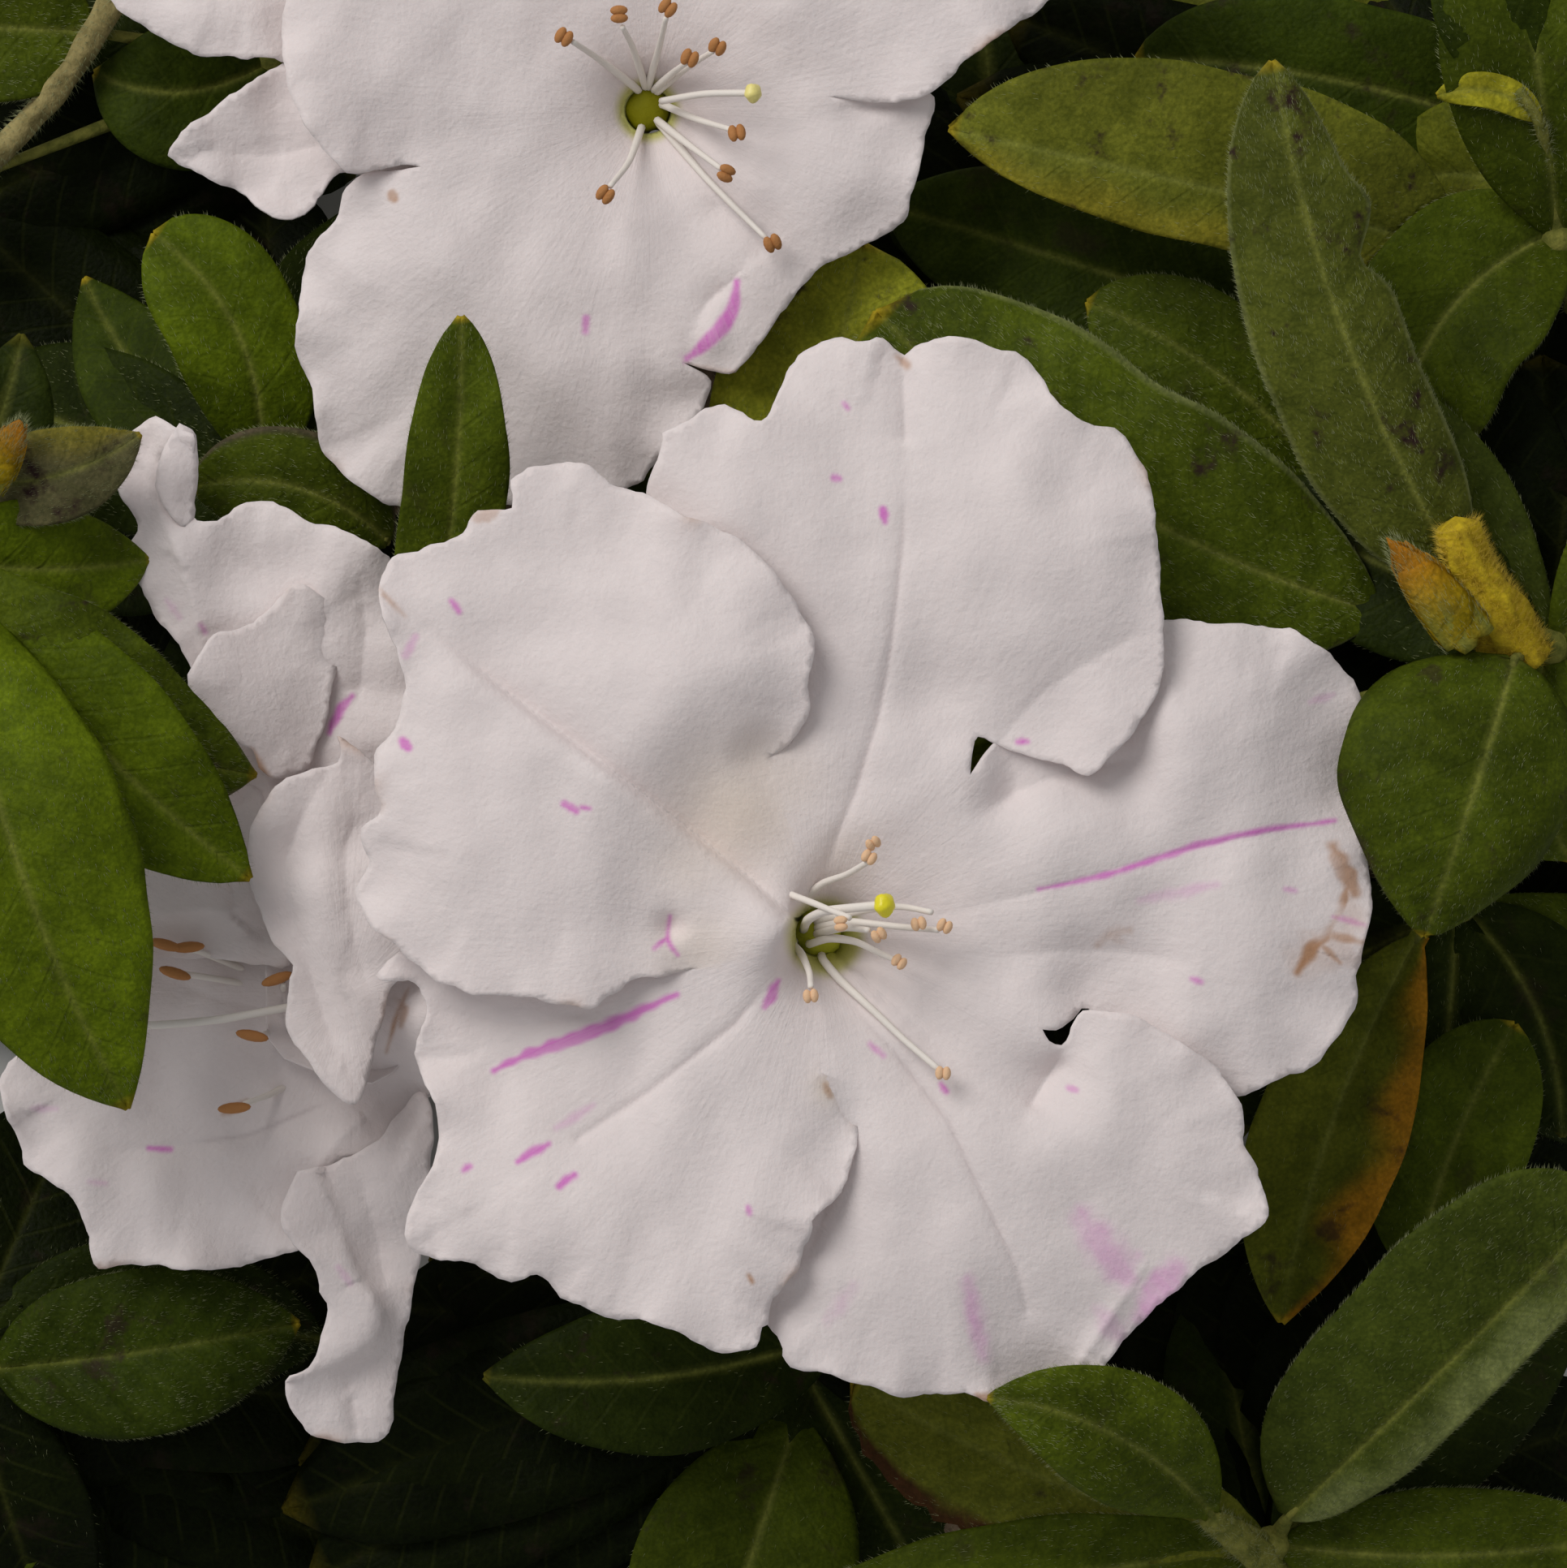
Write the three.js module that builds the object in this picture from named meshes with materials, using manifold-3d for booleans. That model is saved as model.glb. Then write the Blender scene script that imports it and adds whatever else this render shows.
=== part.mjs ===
// A flowering azalea spray, cut from its shrub and lying face up on a level surface.
// Units are millimetres. +Z is up, and +Y runs from the cut end towards the tip of the spray.
// Three open blooms face up, over a woody stem with side shoots, each ending in a whorl of leaves.
import * as THREE from "three";
import { mergeVertices } from "three/addons/utils/BufferGeometryUtils.js";
import Module from "manifold-3d";

const wasm = await Module();
wasm.setup();

// Driving dimensions
const gap = 0.3; // clear space kept between neighbouring pieces
const limbStep = 10; // length of one straight stretch of a limb
const footprintCentre = [0.9, -1.3]; // middle of the spray's footprint, before it is moved to the origin
const stemSides = 8;
const shootSides = 6;
const bladeSides = 4;
const bladeSteps = 5;
const leafThickness = 1.3;
const leafFold = 0.12; // how far a leaf's margins stand above its midrib, as a share of the half width
const hubRadius = 1.7; // the knot of leaf bases at the end of a shoot
const leafStalk = { radii: [0.9, 0.6], into: 0.12 }; // into is how far it runs on inside the blade
const petalThickness = 1.2;
const rimRadius = 40; // the rim of the funnel profile, before its lobes are drawn out
const throatRadius = 4; // inside this the funnel is round and upright
const limbRadius = 12; // beyond this the funnel has its full lobed outline
// Radius and height of the funnel's inner and outer sides. Height is a share of the way
// from the foot of the tube to the mouth.
const funnelInside = [[0, 0.3], [1.8, 0.45], [4, 0.74], [9, 0.94], [16, 1.03], [28, 1.06], [rimRadius, 1]];
const funnelOutside = [[28, 1.06], [14, 1.01], [7, 0.83], [4, 0.5], [3, 0.08]];
const bloomBearings = 38;
const up = new THREE.Vector3(0, 0, 1);

// Finishes
const finishes = {
  bark: { color: 0x6b5038, roughness: 0.9, metalness: 0 },
  youngShoot: { color: 0x9a8f3c, roughness: 0.85, metalness: 0 },
  leaf: { color: 0x4d6a28, roughness: 0.6, metalness: 0 },
  shadedLeaf: { color: 0x2c401c, roughness: 0.65, metalness: 0 },
  petal: { color: 0xe9e3e2, roughness: 0.55, metalness: 0 },
  bud: { color: 0xb59a3a, roughness: 0.8, metalness: 0 },
};

// The main stem, from its flat cut to the knot under the upper bloom
const mainStem = {
  through: [
    [-26, -88, 2.6], [-26, -77, 2.6], [-19, -58, 5], [-9, -34, 8], [-2, -8, 10], [-1, 14, 10], [-8, 36, 9],
  ],
  startRadius: 2.6,
  endRadius: 1.4,
};

// Side shoots: each tapers from the stem, or from another shoot, to the knot of its whorl
const sideShoots = {
  shoot_right: {
    through: [[-3, -14, 9.5], [22, -8, 11], [52, -5, 15], [65, 2, 27], [57, 9, 36]],
    radii: [1.3, 1.1],
  },
  shoot_upper_right: {
    through: [[-1, 10, 10], [22, 20, 13], [43, 31, 19], [58, 38, 28]],
    radii: [1.2, 0.9],
  },
  shoot_lower_right: {
    through: [[-15, -48, 6.5], [6, -54, 9], [24, -57, 17], [35, -56, 27]],
    radii: [1.2, 0.9],
  },
  shoot_left: {
    through: [[-3, -9, 10], [-26, 0, 13], [-50, 4, 20], [-66, 11, 33], [-64, 16, 40]],
    radii: [1.2, 0.9],
  },
  shoot_upper_left: {
    through: [[-2, 16, 9.5], [-16, 20, 11], [-30, 21, 15], [-37, 21, 22]],
    radii: [1.1, 0.8],
  },
  shoot_lower_left: {
    through: [[-17, -52, 6], [-32, -50, 7], [-48, -47, 10], [-60, -43, 16]],
    radii: [1.1, 0.8],
  },
  shoot_tip: {
    through: [[-8, 37, 8], [-17, 46, 9], [-29, 49, 10], [-37, 53, 13]],
    radii: [1.0, 0.8],
  },
  shoot_low_right: {
    through: [[-2, -3, 9.5], [14, -4, 6.5], [31, -4, 6]],
    radii: [1.1, 0.8],
  },
  shoot_low_left: {
    through: [[-6, -20, 9], [-22, -11, 7], [-40, -4.5, 8.5]],
    radii: [1.1, 0.8],
  },
  shoot_low_upper: {
    through: [[-2, 17, 9.5], [6, 25, 7.5], [13.5, 32, 6.5]],
    radii: [1.0, 0.8],
  },
  shoot_low_middle: {
    through: [[-11, -38, 8], [-5, -41, 11], [-1, -41.5, 13]],
    radii: [1.0, 0.8],
  },
  shoot_right_middle: {
    through: [[44, -5.5, 13.5], [47, -8, 17], [49.5, -9, 20]],
    radii: [0.9, 0.7],
  },
  shoot_under_left: {
    through: [[-1.5, 4, 10.5], [-12, 6, 15], [-21, 8, 25], [-24, 11, 35]],
    radii: [1.0, 0.8],
  },
  shoot_under_middle: {
    through: [[-0.5, 11, 11.5], [1.5, 13, 18], [2, 15.5, 25.5]],
    radii: [0.9, 0.8],
  },
  stalk_main_bloom: {
    through: [[-2, -11, 11], [0, -11.5, 15], [2, -11, 20]],
    radii: [1.0, 0.9],
  },
  stalk_upper_bloom: {
    through: [[-8, 36, 10.6], [-9, 43, 11], [-9.5, 48, 13.5]],
    radii: [1.0, 0.9],
  },
  stalk_left_bloom: {
    through: [[-13, -5, 13], [-20, -9, 13], [-26, -14, 16.5]],
    radii: [1.0, 0.9],
  },
};

// The blooms. A lobe runs clockwise between two bearings, in degrees from +X, and reaches
// furthest between them. notch is the reach of the outline where it meets the next lobe.
const blooms = {
  bloom_main: {
    throat: [2, -10.8], base: 20, mouth: 47, tiltX: 0, tiltY: 0,
    lobes: [
      { from: 110, to: 42, reach: 44, notch: 34, lift: 1.5 },
      { from: 42, to: -21, reach: 41.5, notch: 33, lift: -1.5 },
      { from: -21, to: -96, reach: 39, notch: 28.5, lift: 0 },
      { from: -96, to: -174, reach: 36, notch: 31.5, lift: 1 },
      { from: -174, to: -250, reach: 41, notch: 34.5, lift: 3 },
    ],
  },
  bloom_upper: {
    throat: [-9.9, 48.9], base: 13.5, mouth: 33, tiltX: 0, tiltY: 0,
    lobes: [
      { from: 150, to: 72, reach: 37, notch: 30, lift: 2 },
      { from: 72, to: 6, reach: 37, notch: 21, lift: 0 },
      { from: 6, to: -76, reach: 22, notch: 20, lift: 2 },
      { from: -76, to: -170, reach: 34, notch: 24, lift: 0 },
      { from: -170, to: -210, reach: 36, notch: 30, lift: -1 },
    ],
  },
  bloom_left: {
    throat: [-31.5, -15.2], base: 16.5, mouth: 31, tiltX: 0.1, tiltY: 0.08,
    lobes: [
      { from: 150, to: 62, reach: 43, notch: 12, lift: 2 },
      { from: 62, to: -62, reach: 9, notch: 12, lift: 2 },
      { from: -62, to: -112, reach: 33, notch: 20, lift: -3 },
      { from: -112, to: -172, reach: 29, notch: 18, lift: 0 },
      { from: -172, to: -210, reach: 22, notch: 18, lift: 3 },
    ],
  },
};

// Whorls of leaves. A leaf runs from the knot, or from its own root, to its tip. wide is its
// width, and arch is how far its middle stands above the straight line between its ends.
const whorls = {
  leaves_right: {
    knot: [56, 10, 38], finish: "leaf",
    leaves: [
      { root: [50, 17, 40], tip: [35.5, 52, 47], wide: 10.5, arch: 3 },
      { root: [53, 10, 43], tip: [46, -11, 45], wide: 17, arch: 6 },
      { tip: [7, 34, 30], wide: 19, arch: 4 },
      { tip: [25, 37, 26], wide: 12, arch: 3 },
      { tip: [38, 37, 30], wide: 11, arch: 2 },
      { tip: [77, 30, 34], wide: 13, arch: 5 },
      { tip: [80, -8, 30], wide: 14, arch: 5 },
    ],
  },
  leaves_upper_right: {
    knot: [57, 40, 30], finish: "leaf",
    leaves: [
      { tip: [12, 47.5, 33], wide: 14.5, arch: 5 },
      { tip: [41, 27, 31], wide: 19, arch: 4 },
      { tip: [28, 55, 18], wide: 13, arch: 3 },
      { tip: [8, 40, 17], wide: 14, arch: 3 },
      { tip: [53, 66, 36], wide: 14, arch: 5 },
      { tip: [47, 51, 38], wide: 4, arch: 1 },
      { tip: [82, 58, 24], wide: 14, arch: 6 },
      { tip: [79, 40, 12], wide: 13, arch: 4 },
    ],
  },
  leaves_left: {
    knot: [-64, 17, 41.5], finish: "leaf",
    leaves: [
      { tip: [-47.5, -23.5, 46], wide: 17, arch: 8 },
      { tip: [-38.5, -7, 41], wide: 11, arch: 4 },
      { tip: [-38.5, 2, 37], wide: 14, arch: 3 },
      { tip: [-46, 15, 33], wide: 10, arch: 2 },
      { tip: [-47, 25.5, 37], wide: 7, arch: 2 },
      { tip: [-80, 34, 34], wide: 12, arch: 5 },
      { tip: [-80, 0, 28], wide: 13, arch: 5 },
    ],
  },
  leaves_upper_left: {
    knot: [-38, 21, 24], finish: "leaf",
    leaves: [
      { tip: [-45.5, 40, 27], wide: 10.5, arch: 3 },
      { tip: [-51, 37, 14], wide: 9, arch: 2 },
      { root: [-29, 16, 26], tip: [-43, 22, 28], wide: 12, arch: 2 },
      { tip: [-62, 30, 8], wide: 13, arch: 4 },
      { tip: [-30, 44, 10], wide: 12, arch: 2 },
    ],
  },
  leaves_under_left: {
    knot: [-24.5, 12, 36.5], finish: "leaf",
    leaves: [
      { tip: [-23.5, 34, 43.5], wide: 7.5, arch: 1 },
      { tip: [-6, 16, 39], wide: 9, arch: 1 },
    ],
  },
  leaves_under_middle: {
    knot: [2, 16.5, 27], finish: "leaf",
    leaves: [
      { tip: [6.5, 38.5, 29], wide: 13, arch: 1 },
      { tip: [-12, 24, 29], wide: 9, arch: 2 },
      { tip: [24, 6, 26], wide: 12, arch: 4 },
    ],
  },
  leaves_tip: {
    knot: [-38, 54, 14], finish: "shadedLeaf",
    leaves: [
      { tip: [-50, 52, 17], wide: 12, arch: 3 },
      { tip: [-62, 66, 6], wide: 14, arch: 6 },
      { tip: [-40, 82, 8], wide: 14, arch: 6 },
      { tip: [-16, 82, 6], wide: 14, arch: 6 },
      { tip: [-58, 47, 0], wide: 11, arch: 4 },
    ],
  },
  leaves_lower_left: {
    knot: [-61, -43, 17], finish: "leaf",
    leaves: [
      { tip: [-35.5, -39, 23], wide: 12.5, arch: 4 },
      { tip: [-33, -44, 10], wide: 14, arch: 3 },
      { tip: [-54, -66, 6], wide: 12, arch: 5 },
      { tip: [-80, -56, 8], wide: 13, arch: 6 },
      { tip: [-76, -26, 8], wide: 13, arch: 6 },
      { tip: [-52, -22, 7], wide: 13, arch: 4 },
    ],
  },
  leaves_lower_right: {
    knot: [36, -56, 28.5], finish: "leaf",
    leaves: [
      { tip: [14.7, -44.5, 41], wide: 9.5, arch: 3 },
      { tip: [5, -43.5, 24], wide: 12, arch: 3 },
      { tip: [1, -58, 25], wide: 9, arch: 4 },
      { tip: [60, -28, 42], wide: 15, arch: 5 },
      { tip: [62, -55, 28], wide: 10, arch: 4 },
      { tip: [58, -38, 20], wide: 13, arch: 3 },
      { tip: [22, -78, 14], wide: 13, arch: 5 },
      { tip: [50, -80, 10], wide: 14, arch: 6 },
    ],
  },
  leaves_right_middle: {
    knot: [50, -9, 21.5], finish: "leaf",
    leaves: [
      { tip: [36, -39, 24], wide: 12.5, arch: 4 },
      { tip: [48, -32, 17], wide: 11, arch: 3 },
      { tip: [61, -27, 13], wide: 12, arch: 3 },
      { tip: [79, -24, 9], wide: 13, arch: 5 },
      { tip: [28, -20, 12], wide: 13, arch: 2 },
    ],
  },
  leaves_low_middle: {
    knot: [0, -41, 14], finish: "shadedLeaf",
    leaves: [
      { tip: [-22, -43, 20], wide: 12, arch: 3 },
      { tip: [-7, -70, 12], wide: 18, arch: 4 },
      { tip: [-24, -60, 9], wide: 13, arch: 3 },
      { tip: [14, -66, 6], wide: 15, arch: 4 },
      { tip: [28, -44, 8], wide: 14, arch: 4 },
      { tip: [-22, -26, 12], wide: 14, arch: 3 },
      { tip: [4, -74, 0], wide: 13, arch: 3 },
    ],
  },
  leaves_low_right: {
    knot: [33, -4, 7], finish: "shadedLeaf",
    leaves: [
      { tip: [44, -28, 0], wide: 14, arch: 4 },
      { tip: [62, 14, 0], wide: 14, arch: 5 },
      { tip: [34, 26, 3], wide: 15, arch: 4 },
      { tip: [12, 6, 4], wide: 14, arch: 3 },
      { tip: [66, -12, 3], wide: 13, arch: 4 },
    ],
  },
  leaves_low_left: {
    knot: [-42, -4, 10], finish: "shadedLeaf",
    leaves: [
      { tip: [-66, 10, 2], wide: 14, arch: 5 },
      { tip: [-70, -14, 0], wide: 14, arch: 5 },
      { tip: [-48, -30, 3], wide: 14, arch: 4 },
      { tip: [-30, 14, 2], wide: 13, arch: 3 },
      { tip: [-54, 26, 0], wide: 13, arch: 4 },
    ],
  },
  leaves_low_upper: {
    knot: [15, 33, 7], finish: "shadedLeaf",
    leaves: [
      { tip: [16, 58, 5], wide: 15, arch: 4 },
      { tip: [40, 48, 2], wide: 15, arch: 4 },
      { tip: [-4, 14, 1], wide: 13, arch: 3 },
      { tip: [48, 24, 0], wide: 14, arch: 4 },
      { tip: [-6, 68, 0], wide: 14, arch: 4 },
    ],
  },
};

// Buds: each is a pointed drop from its foot to its tip
const buds = {
  bud_right: { foot: [51, 13.5, 43], tip: [43.5, 18.5, 45], wide: 3.4, finish: "bud" },
  bud_left: { foot: [-60, 21, 41], tip: [-55, 26.5, 43], wide: 3, finish: "bud" },
};

const point = ([x, y, z]) => new THREE.Vector3(x, y, z);

// A solid from a closed geometry, its shared corners joined by place
function solidFrom(geometry) {
  const bare = geometry.clone();
  bare.deleteAttribute("normal");
  bare.deleteAttribute("uv");
  const joined = mergeVertices(bare, 1e-4);
  return new wasm.Manifold(
    new wasm.Mesh({
      numProp: 3,
      vertProperties: joined.attributes.position.array,
      triVerts: new Uint32Array(joined.index.array),
    }),
  );
}

function geometryFrom(solid) {
  const mesh = solid.getMesh();
  const geometry = new THREE.BufferGeometry();
  geometry.setAttribute("position", new THREE.BufferAttribute(mesh.vertProperties, 3));
  geometry.setIndex(new THREE.BufferAttribute(mesh.triVerts, 1));
  geometry.computeVertexNormals();
  return geometry;
}

// Moves every corner of a geometry to where place(corner) says.
function reshape(geometry, place) {
  const corners = geometry.attributes.position;
  const corner = new THREE.Vector3();
  for (let i = 0; i < corners.count; i++) {
    corner.fromBufferAttribute(corners, i);
    corners.setXYZ(i, ...place(corner).toArray());
  }
  return geometry;
}

// The sideways and upward directions of a strip that runs along a tangent
function frameAlong(tangent, reference) {
  const side = new THREE.Vector3().crossVectors(tangent, reference).normalize();
  const face = new THREE.Vector3().crossVectors(side, tangent).normalize();
  return { side, face };
}

// A limb: a round bar bent along a curve, with a flat face at each end and an even taper
function limb(through, startRadius, endRadius, sides, grow = 0) {
  const curve = new THREE.CatmullRomCurve3(through.map(point), false, "centripetal");
  const steps = Math.max(3, Math.round(curve.getLength() / limbStep));
  const chord = curve.getPoint(1).sub(curve.getPoint(0)).normalize();
  const reference = Math.abs(chord.z) > 0.8 ? new THREE.Vector3(0, 1, 0) : up;
  const bar = new THREE.CylinderGeometry(1, 1, 1, sides, steps);
  return reshape(bar, (corner) => {
    const along = THREE.MathUtils.clamp(corner.y + 0.5, 0, 1);
    const radius = THREE.MathUtils.lerp(startRadius, endRadius, along) + grow;
    const { side, face } = frameAlong(curve.getTangent(along), reference);
    return curve
      .getPoint(along)
      .addScaledVector(side, corner.x * radius)
      .addScaledVector(face, corner.z * radius);
  });
}

// A leaf blade: a flattened ball drawn out along its midrib, widest near the middle
function blade({ tip, wide, arch }, root, grow = 0) {
  const from = point(root);
  const to = point(tip);
  const middle = from.clone().add(to).multiplyScalar(0.5).addScaledVector(up, 2 * arch);
  const midrib = new THREE.QuadraticBezierCurve3(from, middle, to);
  const ball = new THREE.SphereGeometry(1, bladeSides, bladeSteps);
  return reshape(ball, (corner) => {
    const along = (1 - corner.y) / 2;
    const ring = Math.hypot(corner.x, corner.z);
    const across = ring < 1e-6 ? 0 : corner.x / ring;
    const through = ring < 1e-6 ? 0 : corner.z / ring;
    const swell = ring < 1e-6 ? 0 : Math.sin(Math.PI * along ** 0.9) ** 0.85;
    const halfWidth = (wide / 2) * swell + (swell > 0 ? grow : 0);
    const halfDepth = (leafThickness / 2) * Math.sqrt(swell) + (swell > 0 ? grow : 0);
    const { side, face } = frameAlong(midrib.getTangent(along), up);
    const lift = leafFold * halfWidth * across ** 2;
    return midrib
      .getPoint(along)
      .addScaledVector(side, across * halfWidth)
      .addScaledVector(face, lift - through * halfDepth);
  });
}

// A whorl: leaves joined at the knot of their shoot. A leaf with a root of its own
// is carried by a short leaf stalk from the knot.
function whorl({ knot, leaves }, grow = 0) {
  const ball = new THREE.IcosahedronGeometry(hubRadius + grow, 0).translate(...knot);
  let whole = solidFrom(ball);
  for (const leaf of leaves) {
    whole = whole.add(solidFrom(blade(leaf, leaf.root ?? knot, grow)));
    if (leaf.root) {
      const inside = point(leaf.root).lerp(point(leaf.tip), leafStalk.into);
      const stalk = limb([knot, leaf.root, inside.toArray()], ...leafStalk.radii, shootSides, grow);
      whole = whole.add(solidFrom(stalk));
    }
  }
  return whole;
}

// How far a bloom's outline reaches at a bearing, and how far that lobe is lifted
function outlineAt(lobes, bearing) {
  const turned = lobes.map((lobe, i) => {
    const into = (((lobe.from - bearing) % 360) + 360) % 360;
    return { lobe, share: into / (lobe.from - lobe.to), before: lobes.at(i - 1).notch };
  });
  const { lobe, share, before } = turned.find((turn) => turn.share <= 1) ?? turned[0];
  const notch = THREE.MathUtils.lerp(before, lobe.notch, share);
  const bulge = Math.sin(Math.PI * THREE.MathUtils.clamp(share, 0, 1)) ** 0.6;
  return { reach: notch + (lobe.reach - notch) * bulge, lift: lobe.lift * bulge };
}

// A bloom: a turned funnel whose rim is drawn out into lobes. Its profile runs up the inside
// from the bottom of the throat to the rim, and back down the outside to the stalk.
function bloom({ throat, base, mouth, tiltX, tiltY, lobes }, grow = 0) {
  const depth = mouth - base;
  const half = petalThickness / 2 + grow;
  const innerSide = funnelInside.map(([r, z]) => new THREE.Vector2(r, base + z * depth + half));
  const rim = new THREE.Vector2(rimRadius + half, mouth);
  const outerSide = funnelOutside.map(([r, z]) => new THREE.Vector2(r, base + z * depth - half));
  const foot = new THREE.Vector2(0, base - grow);
  const profile = [...innerSide, rim, ...outerSide, foot];
  const turned = new THREE.LatheGeometry(profile.reverse(), bloomBearings);
  turned.rotateX(Math.PI / 2);
  return reshape(turned, (corner) => {
    const out = Math.hypot(corner.x, corner.y);
    const bearing = THREE.MathUtils.radToDeg(Math.atan2(corner.y, corner.x));
    const { reach, lift } = outlineAt(lobes, bearing);
    const limbShare = THREE.MathUtils.smoothstep(out, throatRadius, rimRadius);
    const drawnOut = THREE.MathUtils.smoothstep(out, throatRadius, limbRadius);
    const scale = THREE.MathUtils.lerp(1, reach / rimRadius, drawnOut);
    const x = corner.x * scale;
    const y = corner.y * scale;
    const z = corner.z + lift * limbShare + tiltX * x + tiltY * y;
    return new THREE.Vector3(throat[0] + x, throat[1] + y, z);
  });
}

function bud({ foot, tip, wide }, grow = 0) {
  const drop = new THREE.SphereGeometry(1, 8, 6);
  const axis = point(tip).sub(point(foot));
  const { side, face } = frameAlong(axis.clone().normalize(), up);
  return reshape(drop, (corner) => {
    const along = (1 - corner.y) / 2;
    const swell = along > 0 && along < 1 ? Math.sin(Math.PI * along ** 0.7) ** 0.8 : 0;
    const ring = Math.max(Math.hypot(corner.x, corner.z), 1e-6);
    const radius = swell > 0 ? (wide / 2) * swell + grow : 0;
    return point(foot)
      .addScaledVector(axis, along)
      .addScaledVector(side, (corner.x / ring) * radius)
      .addScaledVector(face, (-corner.z / ring) * radius);
  });
}

// The largest of a solid's separate bodies
function largestBody(solid) {
  return solid.decompose().reduce((best, body) => (body.volume() > best.volume() ? body : best));
}

// Every piece, in the order in which one gives way to another: a later piece is
// cut back by the gap from every earlier one that it would meet.
function allPieces() {
  const pieces = [];
  const add = (name, finish, make) => pieces.push({ name, finish, make });
  add("main_stem", "bark", (grow) =>
    solidFrom(limb(mainStem.through, mainStem.startRadius, mainStem.endRadius, stemSides, grow)),
  );
  for (const [name, { through, radii }] of Object.entries(sideShoots)) {
    const finish = name.startsWith("stalk") ? "youngShoot" : "bark";
    add(name, finish, (grow) => solidFrom(limb(through, ...radii, shootSides, grow)));
  }
  for (const [name, shape] of Object.entries(blooms)) {
    add(name, "petal", (grow) => solidFrom(bloom(shape, grow)));
  }
  for (const [name, shape] of Object.entries(buds)) {
    add(name, shape.finish, (grow) => solidFrom(bud(shape, grow)));
  }
  for (const [name, shape] of Object.entries(whorls)) {
    add(name, shape.finish, (grow) => whorl(shape, grow));
  }
  return pieces;
}

const spray = new THREE.Group();
spray.position.set(-footprintCentre[0], -footprintCentre[1], 0);
const placed = [];
for (const { name, finish, make } of allPieces()) {
  let solid = make(0);
  for (const earlier of placed) solid = solid.subtract(earlier);
  placed.push(make(gap));
  const material = new THREE.MeshStandardMaterial(finishes[finish]);
  const mesh = new THREE.Mesh(geometryFrom(largestBody(solid)), material);
  mesh.name = name;
  spray.add(mesh);
}

export default spray;
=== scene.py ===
import bpy
import math
import numpy as np
from functools import partial
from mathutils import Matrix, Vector
from mathutils.geometry import delaunay_2d_cdt


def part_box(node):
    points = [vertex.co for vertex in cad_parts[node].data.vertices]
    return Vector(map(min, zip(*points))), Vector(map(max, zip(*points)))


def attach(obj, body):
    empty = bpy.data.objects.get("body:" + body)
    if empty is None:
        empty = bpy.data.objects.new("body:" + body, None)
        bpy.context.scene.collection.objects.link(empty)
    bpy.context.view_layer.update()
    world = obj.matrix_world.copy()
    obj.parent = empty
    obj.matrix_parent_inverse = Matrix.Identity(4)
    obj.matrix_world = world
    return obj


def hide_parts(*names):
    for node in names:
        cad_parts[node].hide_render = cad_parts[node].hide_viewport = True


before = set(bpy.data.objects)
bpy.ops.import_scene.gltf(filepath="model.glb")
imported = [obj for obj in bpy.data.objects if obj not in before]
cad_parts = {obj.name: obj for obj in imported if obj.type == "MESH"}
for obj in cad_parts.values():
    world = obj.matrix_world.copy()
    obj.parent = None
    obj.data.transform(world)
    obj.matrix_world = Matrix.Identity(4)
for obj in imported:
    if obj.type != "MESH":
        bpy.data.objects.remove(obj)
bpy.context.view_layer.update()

# Where the photograph is taken from
PICTURE = (1931, 1932)  # its width and height in pixels
PIXEL = 1 / 17  # size of one pixel at the height of the main bloom's face, mm
FACE_HEIGHT = 48
CAMERA_ABOVE_FACE = 1200
SENSOR = 36
SPRAY_ORIGIN = np.array([-0.9, 1.3, 0])  # the spray's own origin in the shared frame, mm
MM = 0.001
UP = np.array([0.0, 0.0, 1.0])

# Petals, in mm
PETAL_THICKNESS = 0.2
PETAL_STEP = 0.5  # distance between the points of a petal
MARK_STEP = 0.16  # the same inside a coloured mark
CREASE_STEP = 0.26  # the same along a crease and round the throat
MARK_ROOM = 0.3  # how far the close points go past the sides of a mark
CREASE_ROOM = 0.5
COARSE_GAP = 0.62  # how near the middle of a crease the other points come
SOFT_MARK = 0.4  # a mark that fades out over more than this has no close points
THROAT_RADIUS = 1.7
THROAT_ROOM = THROAT_RADIUS + 2.2
FUNNEL_SHARE = 0.22  # depth of the open funnel, as a share of the way from the tube's foot to the mouth

# Leaves, in mm. Columns are shares of the way from the midrib to the margin.
LEAF_THICKNESS = 0.34
VEIN_SPACING = 3.0
HAIR_RADIUS = 0.017
LEAF_ROWS = 42
LEAF_COLUMNS = (0, 0.03, 0.07, 0.13, 0.22, 0.33, 0.45, 0.58, 0.71, 0.83, 0.93, 1)
FILLER_ROWS = 18
FILLER_COLUMNS = (0, 0.05, 0.2, 0.45, 0.72, 1)
RIM_HAIRS = 20  # on each mm of a leaf's length
FACE_HAIRS = 4.5  # on each square mm
BUD_HAIRS = 900  # on each bud


def seen(px, py, z):
    """The point at height z that the photograph shows at this pixel, mm"""
    scale = PIXEL * (CAMERA_ABOVE_FACE + FACE_HEIGHT - z) / CAMERA_ABOVE_FACE
    return np.array([(px - PICTURE[0] / 2) * scale, (PICTURE[1] / 2 - py) * scale, z], float)


def spot(x, y, z):
    """A point of the spray, mm"""
    return np.array([x, y, z], float)


def traced(pixels, z):
    """An outline or path of the photograph, as flat points at height z"""
    return np.array([seen(px, py, z)[:2] for px, py in pixels])


def smoothstep(value, low=0.0, high=1.0):
    """0 below low, 1 above high and smooth between"""
    share = np.clip((value - low) / (high - low), 0, 1)
    return share * share * (3 - 2 * share)


def bell(distance, width):
    """1 at no distance, and falling away to nothing over about twice the width"""
    return np.exp(-((distance / width) ** 2))


def mixed(first, second, share):
    """A share of the second value and the rest of the first"""
    return first * (1 - share) + np.asarray(second) * share


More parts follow.
